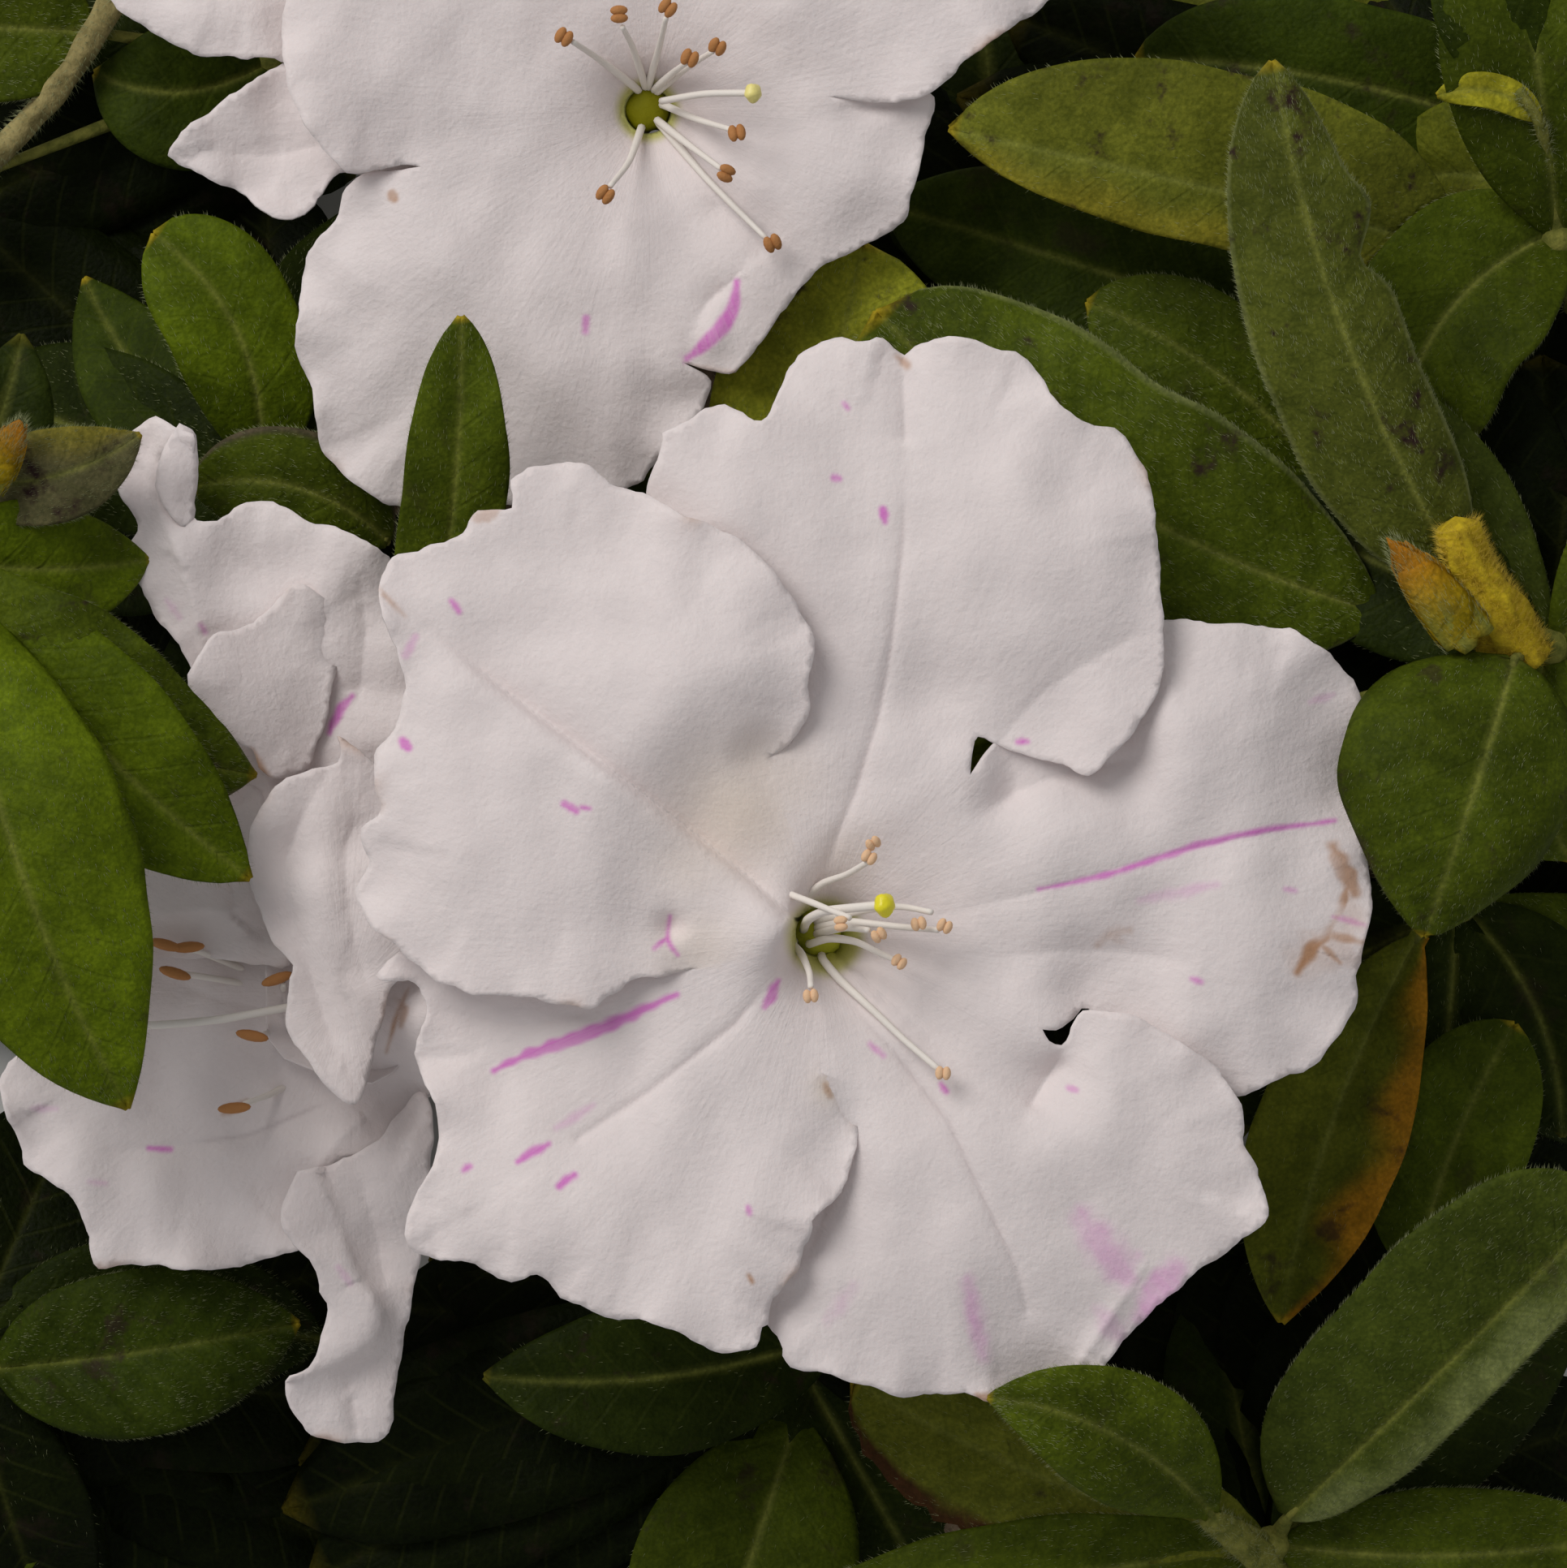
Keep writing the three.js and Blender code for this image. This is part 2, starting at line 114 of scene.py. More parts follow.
def unit(vectors):
    """Vectors made 1 long"""
    return vectors / np.maximum(np.linalg.norm(vectors, axis=-1, keepdims=True), 1e-9)


def undulation(points, length, seed):
    """Smooth seeded waves of about that length over the points, mostly between -1 and 1"""
    waves = 7
    rng = np.random.default_rng(seed)
    total = np.zeros(len(points))
    for _ in range(waves):
        direction = rng.normal(size=points.shape[1])
        direction /= np.linalg.norm(direction)
        turns = points @ direction * (2 * math.pi / (length * rng.uniform(0.7, 1.5)))
        total += np.sin(turns + rng.uniform(0, 2 * math.pi))
    return total / math.sqrt(waves)


def heading(before, after, length):
    """Which way and how fast a smooth curve passes a point, from the points before and after it"""
    chord = after - before
    return chord * min(0.5, 0.8 * (length / max(np.linalg.norm(chord), 1e-9)))


def smooth_path(points, step):
    """Even points along a smooth curve through the given ones"""
    points = np.asarray(points, float)
    ends = np.vstack([2 * points[0] - points[1], points, 2 * points[-1] - points[-2]])
    fine = [points[:1]]
    for i in range(len(points) - 1):
        before, start, end, after = ends[i : i + 4]
        length = np.linalg.norm(end - start)
        leave = heading(before, end, length)
        arrive = heading(start, after, length)
        count = max(2, int(math.ceil(length / step)) * 3)
        u = np.linspace(0, 1, count + 1)[1:, None]
        fine.append(
            (2 * u**3 - 3 * u**2 + 1) * start
            + (u**3 - 2 * u**2 + u) * leave
            + (-2 * u**3 + 3 * u**2) * end
            + (u**3 - u**2) * arrive
        )
    fine = np.vstack(fine)
    run = np.concatenate([[0], np.cumsum(np.linalg.norm(np.diff(fine, axis=0), axis=1))])
    places = np.linspace(0, run[-1], max(3, int(round(run[-1] / step)) + 1))
    return np.stack([np.interp(places, run, fine[:, axis]) for axis in range(fine.shape[1])], 1)


def path_distance(points, path):
    """Distance of each point from a path, how far along it that is, and on which side (-1 right, 1 left)"""
    nearest = np.full(len(points), 1e9)
    along = np.zeros(len(points))
    side = np.ones(len(points))
    run = 0.0
    for start, end in zip(path[:-1], path[1:]):
        edge = end - start
        length = max(np.linalg.norm(edge), 1e-9)
        share = np.clip((points - start) @ edge / length**2, 0, 1)
        away = points - start - share[:, None] * edge
        gap = np.linalg.norm(away, axis=1)
        closer = gap < nearest
        nearest[closer] = gap[closer]
        along[closer] = run + share[closer] * length
        turn = edge[0] * away[:, 1] - edge[1] * away[:, 0]
        side[closer] = np.where(turn[closer] >= 0, 1, -1)
        run += length
    return nearest, along, side, run


def inside(points, outline):
    """True for the points that lie inside a closed outline"""
    crossings = np.zeros(len(points), int)
    for start, end in zip(outline, np.roll(outline, -1, axis=0)):
        if start[1] == end[1]:
            continue
        between = (points[:, 1] >= min(start[1], end[1])) & (points[:, 1] < max(start[1], end[1]))
        cut = start[0] + (points[:, 1] - start[1]) * (end[0] - start[0]) / (end[1] - start[1])
        crossings += between & (cut > points[:, 0])
    return crossings % 2 == 1


def even_points(low, high, step):
    """Points in staggered rows over a rectangle"""
    rows = np.arange(low[1], high[1], step * math.sqrt(3) / 2)
    columns = np.arange(low[0], high[0], step)
    x, y = np.meshgrid(columns, rows)
    x = x + (np.arange(len(rows)) % 2)[:, None] * step / 2
    return np.stack([x.ravel(), y.ravel()], 1)


def part(points, faces, values=None):
    """Points in mm, triangles, and four values for each point under each name"""
    return {"points": points, "faces": np.asarray(faces, int), "values": values or {}}


def untinted(shape):
    """A part whose point value tint is nought"""
    return part(shape["points"], shape["faces"], {"tint": np.zeros((len(shape["points"]), 4))})


def joined(parts):
    """Several parts as one"""
    parts = list(parts)
    start = np.cumsum([0] + [len(p["points"]) for p in parts[:-1]])
    return part(
        np.vstack([p["points"] for p in parts]),
        np.vstack([p["faces"] + s for p, s in zip(parts, start)]),
        {key: np.vstack([p["values"][key] for p in parts]) for key in parts[0]["values"]},
    )


def welded(shape):
    """A part with the corners that lie in one place made one"""
    cells_per_mm = 200
    keys = np.round(shape["points"] * cells_per_mm).astype(np.int64)
    _, first, which = np.unique(keys, axis=0, return_index=True, return_inverse=True)
    faces = which.ravel()[shape["faces"]]
    a, b, c = faces.T
    faces = faces[(a != b) & (b != c) & (a != c)]
    return part(shape["points"][first], faces, {k: v[first] for k, v in shape["values"].items()})


def grid_faces(rows, columns, closed=False):
    """Triangles of a grid of points, row after row. A closed grid joins each row's ends."""
    i, j = np.meshgrid(np.arange(rows - 1), np.arange(columns - (0 if closed else 1)), indexing="ij")
    i, j = i.ravel(), j.ravel()
    k = (j + 1) % columns
    a, b, c, d = i * columns + j, i * columns + k, (i + 1) * columns + k, (i + 1) * columns + j
    return np.vstack([np.stack([a, b, c], 1), np.stack([a, c, d], 1)])


def linked(name, data):
    """A new object of the scene"""
    made = bpy.data.objects.new(name, data)
    bpy.context.scene.collection.objects.link(made)
    return made


def make_piece(name, shape, materials, nodes, thickness=0.0):
    """A mesh object of the part, riding on the root body in place of its CAD nodes"""
    mesh = bpy.data.meshes.new(name)
    points = (shape["points"] + SPRAY_ORIGIN) * MM
    faces = shape["faces"]
    mesh.vertices.add(len(points))
    mesh.vertices.foreach_set("co", points.astype(np.float32).ravel())
    mesh.loops.add(faces.size)
    mesh.loops.foreach_set("vertex_index", faces.astype(np.int32).ravel())
    mesh.polygons.add(len(faces))
    mesh.polygons.foreach_set("loop_start", np.arange(0, faces.size, 3, dtype=np.int32))
    mesh.update(calc_edges=True)
    for key, value in shape["values"].items():
        layer = mesh.color_attributes.new(key, "FLOAT_COLOR", "POINT")
        layer.data.foreach_set("color", value.astype(np.float32).ravel())
    for material in materials:
        mesh.materials.append(material)
    piece = linked(name, mesh)
    if thickness:
        solid = piece.modifiers.new("thickness", "SOLIDIFY")
        solid.thickness = thickness * MM
        solid.offset = 0
        solid.material_offset = len(materials) - 1
    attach(piece, "root")
    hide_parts(*nodes)


# Shader helpers


def new_material(name, roughness, specular, **constants):
    """A material, its node tree and its surface node"""
    material = bpy.data.materials.new(name)
    material.use_nodes = True
    tree = material.node_tree
    surface = tree.nodes["Principled BSDF"]
    surface.inputs["Roughness"].default_value = roughness
    surface.inputs["Specular IOR Level"].default_value = specular
    for key, value in constants.items():
        surface.inputs[key.replace("_", " ")].default_value = value
    return material, tree, surface


def node(tree, kind, inputs=None, **settings):
    """A shader node with its settings, and its inputs linked or given a value"""
    made = tree.nodes.new(kind)
    for key, value in settings.items():
        setattr(made, key, value)
    for key, value in (inputs or {}).items():
        if isinstance(value, bpy.types.NodeSocket):
            tree.links.new(value, made.inputs[key])
        else:
            made.inputs[key].default_value = value
    return made


def sums(tree, operation, first, second=0.0, third=0.0, clamp=False):
    """The result of a math node"""
    inputs = {0: first, 1: second, 2: third}
    return node(tree, "ShaderNodeMath", inputs, operation=operation, use_clamp=clamp).outputs[0]


def blend(tree, factor, first, second, mode="MIX"):
    """Two colours mixed by a factor"""
    inputs = {0: factor}
    for socket, colour in ((6, first), (7, second)):
        inputs[socket] = colour if isinstance(colour, bpy.types.NodeSocket) else (*colour, 1)
    return node(tree, "ShaderNodeMix", inputs, data_type="RGBA", blend_type=mode).outputs[2]


def ramp(tree, value, low, high):
    """0 below low, 1 above high and smooth between"""
    inputs = {"Value": value, "From Min": low, "From Max": high}
    return node(tree, "ShaderNodeMapRange", inputs, interpolation_type="SMOOTHSTEP").outputs[0]


def attribute(tree, name):
    """The red, green and blue of a point value, its alpha and its colour"""
    read = node(tree, "ShaderNodeAttribute", attribute_name=name)
    split = node(tree, "ShaderNodeSeparateColor", {0: read.outputs["Color"]})
    return [*split.outputs[:3], read.outputs["Alpha"], read.outputs["Color"]]


def noise(tree, scale, detail, rough, vector=None):
    """A noise over the object, or over another vector"""
    vector = place(tree) if vector is None else vector
    inputs = {"Vector": vector, "Scale": scale, "Detail": detail, "Roughness": rough}
    return node(tree, "ShaderNodeTexNoise", inputs).outputs["Fac"]


def place(tree):
    """Where on the object a point lies"""
    return node(tree, "ShaderNodeTexCoord").outputs["Object"]


def bump(tree, surface, height, distance_mm):
    """Fine relief of a surface"""
    made = node(tree, "ShaderNodeBump", {"Height": height, "Distance": distance_mm * MM})
    tree.links.new(made.outputs[0], surface.inputs["Normal"])


# Materials


def petal_material(name):
    """White petal. Point value paint holds magenta, brown and throat shares and the shade painted along the
    midrib groove, and rays the way out.
    """
    scatter = {"Subsurface_Weight": 0.18, "Subsurface_Scale": 0.0007, "Subsurface_Radius": (1, 0.85, 0.8)}
    material, tree, surface = new_material(name, 0.62, 0.22, Sheen_Weight=0.08, **scatter)
    magenta, brown_share, throat, midrib_shade, _ = attribute(tree, "paint")
    cosine, sine, reach, warm, _ = attribute(tree, "rays")
    rays = node(tree, "ShaderNodeCombineXYZ")
    for index, (value, factor) in enumerate(((cosine, 15.0), (sine, 15.0), (reach, 0.055))):
        tree.links.new(sums(tree, "MULTIPLY", value, factor), rays.inputs[index])
    fine_rays = noise(tree, 2.6, 3, 0.6, rays.outputs[0])
    white = blend(tree, ramp(tree, fine_rays, 0.35, 0.7), (0.81, 0.716, 0.704), (0.795, 0.70, 0.688))
    clouds = noise(tree, 260, 4, 0.6)
    white = blend(tree, ramp(tree, clouds, 0.42, 0.62), (0.775, 0.684, 0.674), white)
    white = blend(tree, sums(tree, "MULTIPLY", warm, 0.9, clamp=True), white, (0.80, 0.64, 0.48))
    # A darker line along each midrib: painted shade in its sunken groove
    white = blend(tree, sums(tree, "MULTIPLY", midrib_shade, 0.8, clamp=True), white, (0.50, 0.42, 0.42))
    white = blend(tree, ramp(tree, throat, 0.25, 0.6), white, (0.52, 0.50, 0.17))
    white = blend(tree, ramp(tree, throat, 0.55, 0.95), white, (0.36, 0.36, 0.035))
    streaks = sums(tree, "MULTIPLY_ADD", ramp(tree, fine_rays, 0.3, 0.7), 0.25, 0.78)
    streaky = sums(tree, "MULTIPLY", magenta, streaks)
    white = blend(tree, sums(tree, "MINIMUM", streaky, 1.0), white, (0.68, 0.15, 0.56))
    blotches = noise(tree, 140, 3, 0.5)
    specked = sums(tree, "MULTIPLY", brown_share, ramp(tree, blotches, 0.32, 0.55), clamp=True)
    white = blend(tree, specked, white, (0.42, 0.20, 0.08))
    tree.links.new(white, surface.inputs["Base Color"])
    cells = noise(tree, 2600, 2, 0.5)
    crinkles = noise(tree, 850, 5, 0.62)
    relief_height = sums(tree, "MULTIPLY_ADD", fine_rays, 0.3, sums(tree, "MULTIPLY", cells, 0.4))
    bump(tree, surface, sums(tree, "MULTIPLY_ADD", crinkles, 0.75, relief_height), 0.13)
    return material


def leaf_material(name, under=False):
    """Leaf blade. Point value tint holds its colour and spots, and veins the phase and the place across."""
    material, tree, surface = new_material(name, 0.7 if under else 0.5, 0.035)
    spots, colour = attribute(tree, "tint")[3:]
    phase, across = attribute(tree, "veins")[:2]
    wander = noise(tree, 150, 2, 0.5)
    phase = sums(tree, "MULTIPLY_ADD", sums(tree, "SUBTRACT", wander, 0.5), 0.3, phase)
    line = sums(tree, "ABSOLUTE", sums(tree, "SUBTRACT", sums(tree, "FRACT", phase), 0.5))
    line = sums(tree, "MULTIPLY", ramp(tree, line, 0.09, 0.015), ramp(tree, across, 0.95, 0.55))
    mottle = noise(tree, 420, 4, 0.6)
    shade = blend(tree, ramp(tree, mottle, 0.3, 0.7), (0.74, 0.76, 0.70), (1.22, 1.2, 1.15))
    base = blend(tree, 1.0, colour, shade, "MULTIPLY")
    base = blend(tree, sums(tree, "MULTIPLY", line, 0.05), base, (0.14, 0.16, 0.03))
    cells = {"Vector": place(tree), "Scale": 1250.0}
    net = node(tree, "ShaderNodeTexVoronoi", cells, feature="DISTANCE_TO_EDGE")
    net = ramp(tree, net.outputs["Distance"], 0.3, 0.0)
    # The fine net of veins is sunken, and painted darker along its lines: painted shade in its grooves
    base = blend(tree, sums(tree, "MULTIPLY", net, 0.12), base, (0.012, 0.02, 0.002))
    grain = noise(tree, 3200, 3, 0.6)
    speckle = blend(tree, ramp(tree, grain, 0.35, 0.7), (0.82, 0.84, 0.8), (1.15, 1.13, 1.1))
    base = blend(tree, 1.0, base, speckle, "MULTIPLY")
    blots = noise(tree, 230, 5, 0.65)
    purple = sums(tree, "MULTIPLY", spots, ramp(tree, blots, 0.57, 0.70), clamp=True)
    base = blend(tree, purple, base, (0.028, 0.014, 0.013))
    if under:
        base = blend(tree, 0.35, base, (0.16, 0.2, 0.09))
    tree.links.new(base, surface.inputs["Base Color"])
    height = sums(tree, "MULTIPLY_ADD", mottle, 0.5, sums(tree, "MULTIPLY", grain, 0.25))
    height = sums(tree, "SUBTRACT", height, sums(tree, "MULTIPLY", line, 0.16))
    height = sums(tree, "SUBTRACT", height, sums(tree, "MULTIPLY", net, 0.11))
    bump(tree, surface, height, 0.24)
    return material


def bark_material(name, dark, light):
    """Bark or shoot. Point value tint holds the share of fresh cut wood in its alpha."""
    material, tree, surface = new_material(name, 0.85, 0.2)
    cut = attribute(tree, "tint")[3]
    coarse = noise(tree, 700, 5, 0.65)
    fine = noise(tree, 2600, 3, 0.6)
    base = blend(tree, ramp(tree, coarse, 0.3, 0.7), dark, light)
    base = blend(tree, cut, base, (0.55, 0.42, 0.24))
    tree.links.new(base, surface.inputs["Base Color"])
    bump(tree, surface, sums(tree, "MULTIPLY_ADD", coarse, 1.0, sums(tree, "MULTIPLY", fine, 0.4)), 0.25)
    return material


def plain_material(name, colour, roughness, specular=0.3, grain=0.0):
    """One colour, with a fine grain where asked for"""
    material, tree, surface = new_material(name, roughness, specular, Base_Color=(*colour, 1))
    if grain:
        bump(tree, surface, noise(tree, 1800, 3, 0.6), grain)
    return material


PETAL = petal_material("petal")
LEAF = leaf_material("leaf")
LEAF_UNDER = leaf_material("leaf underside", under=True)
BARK = bark_material("bark", (0.055, 0.034, 0.02), (0.2, 0.14, 0.09))
YOUNG = bark_material("young shoot", (0.09, 0.10, 0.015), (0.24, 0.23, 0.045))
STRAW = bark_material("straw shoot", (0.17, 0.14, 0.05), (0.33, 0.27, 0.11))
GOLDEN = bark_material("golden shoot", (0.28, 0.19, 0.008), (0.58, 0.42, 0.015))
WHITE_HAIR = plain_material("white hair", (0.29, 0.31, 0.15), 0.7)
GOLDEN_HAIR = plain_material("golden hair", (0.60, 0.42, 0.04), 0.6)
FILAMENT = plain_material("filament", (0.80, 0.74, 0.68), 0.6, grain=0.05)
ANTHER = plain_material("anther", (0.44, 0.19, 0.06), 0.7, grain=0.12)
PALE_ANTHER = plain_material("pale anther", (0.78, 0.50, 0.30), 0.7, grain=0.12)
# The first ovary colour is painted lighter than the second: painted light against the shade deep in the main
# bloom's throat
OVARY_PAINTED_LIGHT = plain_material("ovary", (0.48, 0.49, 0.04), 0.6, specular=0.1, grain=0.1)
DARK_OVARY = plain_material("dark ovary", (0.20, 0.19, 0.004), 0.6, specular=0.1, grain=0.1)
STIGMA = plain_material("stigma", (0.82, 0.72, 0.015), 0.35, specular=0.5, grain=0.1)
PALE_STIGMA = plain_material("pale stigma", (0.85, 0.74, 0.25), 0.4, specular=0.5, grain=0.1)


# Tubes, balls and hairs


def sweep(path):
    """Sideways and face directions carried along a path without twist"""
    tangent = unit(np.gradient(path, axis=0))
    start = np.array([0.0, 1.0, 0.0]) if abs(tangent[0][2]) > 0.8 else UP
    side = [unit(np.cross(tangent[0], start))]
    for direction in tangent[1:]:
        side.append(unit(side[-1] - direction * (side[-1] @ direction)))
    side = np.array(side)
    return tangent, side, np.cross(side, tangent)


def tube(through, start_radius, end_radius, sides=10, step=0.8, depth=0.0, seed=0, cut=False):
    """A round bar along a smooth path, closed at both ends, with relief of a depth. cut makes its first end
    a fresh flat cut."""
    path = smooth_path(through, step)
    tangent, side, face = sweep(path)
    rows = len(path)
    share = np.linspace(0, 1, rows)
    radius = start_radius + (end_radius - start_radius) * share
    turn = np.linspace(0, 2 * math.pi, sides, endpoint=False)
    cosine, sine = np.cos(turn), np.sin(turn)
    ring = cosine[None, :, None] * side[:, None] + sine[None, :, None] * face[:, None]
    run = np.repeat((share * rows * step)[:, None], sides, 1) / 4
    level = np.full((rows, 1), start_radius)
    around = np.stack([run, level * cosine, level * sine], -1).reshape(-1, 3)
    rough = undulation(around, 1.3, seed).reshape(rows, sides) * depth
    rough[0] = 0
    points = (path[:, None] + ring * (radius[:, None] + rough)[..., None]).reshape(-1, 3)
    ends = [path[0], path[-1] + tangent[-1] * end_radius * 0.5]
    j = np.arange(sides)
    k = (j + 1) % sides
    last = (rows - 1) * sides
    first_fan = np.stack([np.full(sides, len(points)), k, j], 1)
    last_fan = np.stack([last + j, last + k, np.full(sides, len(points) + 1)], 1)
    tint = np.zeros((len(points) + 2, 4))
    if cut:
        tint[:sides, 3] = 1
        tint[-2, 3] = 1
    faces = np.vstack([grid_faces(rows, sides, closed=True), first_fan, last_fan])
    return part(np.vstack([points, ends]), faces, {"tint": tint})


def ball(centre, axis, half_length, half_width, sides=8, rings=6, lobes=0, depth=0.0):
    """A closed egg along an axis, with lengthwise lobes where asked for"""
    axis = unit(np.asarray(axis, float))
    start = np.array([0.0, 1.0, 0.0]) if abs(axis[2]) > 0.8 else UP
    side = unit(np.cross(axis, start))
    face = np.cross(side, axis)
    fall = np.linspace(0, math.pi, rings)[:, None]
    turn = np.linspace(0, 2 * math.pi, sides, endpoint=False)[None]
    width = half_width * np.sin(fall) * (1 + depth * np.cos(lobes * turn))
    points = (
        centre
        - axis * (half_length * np.cos(fall) * np.ones_like(turn))[..., None]
        + side * (width * np.cos(turn))[..., None]
        + face * (width * np.sin(turn))[..., None]
    )
    return welded(part(points.reshape(-1, 3), grid_faces(rings, sides, closed=True)))


def needles(roots, directions, lengths):
    """Three-sided hairs, each with its own root, direction and length"""
    directions = unit(directions)
    start = np.where(np.abs(directions[:, 2:]) > 0.8, [[0.0, 1.0, 0.0]], [[0.0, 0.0, 1.0]])
    side = unit(np.cross(directions, start))
    face = np.cross(side, directions)
    corners = []
    for turn in (0, 2 * math.pi / 3, 4 * math.pi / 3):
        corners.append(roots + (side * math.cos(turn) + face * math.sin(turn)) * HAIR_RADIUS)
    corners.append(roots + directions * np.asarray(lengths)[:, None])
    points = np.stack(corners, 1).reshape(-1, 3)
    first = np.arange(len(roots))[:, None] * 4
    faces = [first + np.array(three) for three in ([0, 1, 3], [1, 2, 3], [2, 0, 3])]
    return part(points, np.vstack(faces))


def hairy_tube(through, start_radius, end_radius, density, length, rng):
    """Hairs that stand off a limb and lean to its tip"""
    path = smooth_path(through, 0.5)
    tangent, side, face = sweep(path)
    count = int(len(path) * 0.5 * density)
    pick = rng.integers(0, len(path), count)
    turn = rng.uniform(0, 2 * math.pi, count)[:, None]
    out = side[pick] * np.cos(turn) + face[pick] * np.sin(turn)
    share = (pick / len(path))[:, None]
    roots = path[pick] + out * (start_radius + (end_radius - start_radius) * share) * 0.95
    lean = tangent[pick] * rng.uniform(0.1, 1.3, (count, 1))
    directions = out + lean + rng.normal(0, 0.25, (count, 3))
    return needles(roots, directions, length * rng.uniform(0.5, 1.2, count))


# Leaves


# What a leaf is like where its own entry says nothing else
PLAIN_LEAF = {
    "bend": 0,  # how far its middle lies to one side, mm
    "roll": 0,  # turn about its midrib, degrees
    "fold": 0.12,  # how far its sides are lifted, for each mm of its half width
    "curl": 0.08,  # how far its margins are turned down, for each mm of its half width
    "widest": 0.5,  # how far along it the blade is widest
    "ends": (0, 0),  # how full its base and its tip are, from 0 to 1
    "skew": 0,  # how much wider its right half is
    "dents": (),  # where along it each is, on which side and how deep
    "rib": 1,  # how pale its midrib is
    "quilt": 1,  # how much it swells between its side veins
    "hairy": 0.5,
    "spots": 0.3,
    "wave": 0.3,
    "tone": "mid",
    "edge": None,
    "filler": False,
}


def leaf(base, tip, wide, arch=3, **own):
    """One leaf: both ends, its width and how far its middle is lifted, in mm, and what is its own"""
    return {**PLAIN_LEAF, "base": base, "tip": tip, "wide": wide, "arch": arch, **own}


def painted_shade_leaves(knot, tips):
    """Plain leaves from one knot, dark with painted shade. Each tip is a place, a width and an arch, mm."""
    return [leaf(knot, spot(*tip), wide, arch, tone="painted_shade", filler=True) for *tip, wide, arch in tips]


# The deep and darkest tones are painted shade: leaf colours darkened to stand for the shade deep in the
# spray and in its gaps
TONES = {
    "fresh": (0.084, 0.118, 0.004),
    "mid": (0.058, 0.078, 0.005),
    "bright": (0.150, 0.160, 0.018),
    "soft": (0.082, 0.094, 0.014),
    "olive": (0.100, 0.110, 0.010),
    # This tone is painted light: a leaf colour lightened against the shadow that falls on it
    "painted_light": (0.24, 0.25, 0.02),
    "grey": (0.053, 0.070, 0.009),
    "dark": (0.027, 0.040, 0.003),
    "deep": (0.017, 0.025, 0.003),
    "painted_shade": (0.0045, 0.0065, 0.001),
    "scaly": (0.105, 0.095, 0.045),
    "yellow": (0.34, 0.31, 0.02),
    "bud": (0.27, 0.19, 0.006),
}
# Coloured margins: the side, where across the blade they begin and are full, the colour and its share
EDGES = {
    "orange": (-1, 0.25, 0.9, (0.38, 0.17, 0.012), 1.0),
    "yellow": (-1, 0.2, 1.0, (0.24, 0.20, 0.02), 0.7),
    "pale": (0, 0.93, 0.985, (0.30, 0.32, 0.14), 0.5),
    "sage": (1, 0.1, 0.95, (0.17, 0.19, 0.07), 0.75),
    "worn": (-1, 0.72, 0.8, (0.05, 0.016, 0.008), 0.95),
    "purple": (1, 0.80, 0.95, (0.10, 0.066, 0.06), 0.7),
}
PALE_RIB = np.array([0.20, 0.21, 0.045])
TIP_YELLOW = np.array([0.42, 0.30, 0.02])


def leaf_frame(shape, t):
    """Middle, tangent, side and face directions and half width of a leaf at shares t of its length"""
    base, tip = shape["base"], shape["tip"]
    level = unit(np.cross(tip - base, UP))
    handle = (base + tip) / 2 + UP * 2 * shape["arch"] + level * 2 * shape["bend"]
    t = np.asarray(t)[:, None]
    middle = (1 - t) ** 2 * base + 2 * t * (1 - t) * handle + t**2 * tip
    tangent = unit(2 * (1 - t) * (handle - base) + 2 * t * (tip - handle))
    side = unit(np.cross(tangent, UP))
    face = np.cross(side, tangent)
    turn = math.radians(shape["roll"])
    side, face = side * np.cos(turn) + face * np.sin(turn), face * np.cos(turn) - side * np.sin(turn)
    t = t[:, 0]
    widest = shape["widest"]
    from_widest = np.where(t < widest, 1 - t / widest, (t - widest) / (1 - widest))
    full = np.where(t < widest, *shape["ends"])
    swell = np.maximum(1 - np.clip(from_widest, 0, 1) ** (2 + 1.5 * full), 0) ** (0.85 - 0.35 * full)
    stalk = 0.55 * (1 - smoothstep(t, 0.0, 0.2)) + 0.12
    half = np.maximum(shape["wide"] / 2 * swell, np.minimum(stalk, 0.06 * shape["wide"]))
    return middle, tangent, side, face, half


def leaf_points(shape, t, s, seed):
    """Points of the blade at shares t along and s across, from -1 to 1"""
    middle, _, side, face, half = leaf_frame(shape, t)
    length = np.linalg.norm(shape["tip"] - shape["base"])
    far = np.abs(s)
    margin = np.stack([t * length, s * 3], 1)
    ruffle = 1 + 0.015 * undulation(margin, 8, seed)
    if shape["edge"] == "worn":
        ruffle += 0.06 * far**4 * undulation(margin, 1.5, seed)
    for where, which, depth in shape["dents"]:
        ruffle -= depth * bell(t - where, 0.045) * smoothstep(s * which)
    across = s * half * ruffle * (1 + shape["skew"] * np.sign(s))
    rise = shape["fold"] * half * far**1.3 - shape["curl"] * half * far**4
    phase = vein_phase(length, t, across)
    on_vein = bell(1 - np.abs(phase % 1 - 0.5) * 2, 0.35)
    pillow = (1 - on_vein) * np.sin(math.pi * np.clip(far, 0, 1))
    quilt = 0.16 * shape["quilt"] * (shape["wide"] / 14) * pillow
    groove = -0.22 * bell(across, 0.4) * (1 - t)
    wander = shape["wave"] * far**2 * undulation(np.stack([t * length, s * 2], 1), 9, seed + 1)
    lift = rise + quilt + groove + wander * smoothstep(t, 0, 0.15)
    return middle + side * across[:, None] + face * lift[:, None], phase, across


def vein_phase(length, t, across):
    """Counts the side veins, which leave the midrib at a slant"""
    return (t * length - np.abs(across) * 0.95 + np.abs(across) ** 2 * 0.03) / VEIN_SPACING + 8


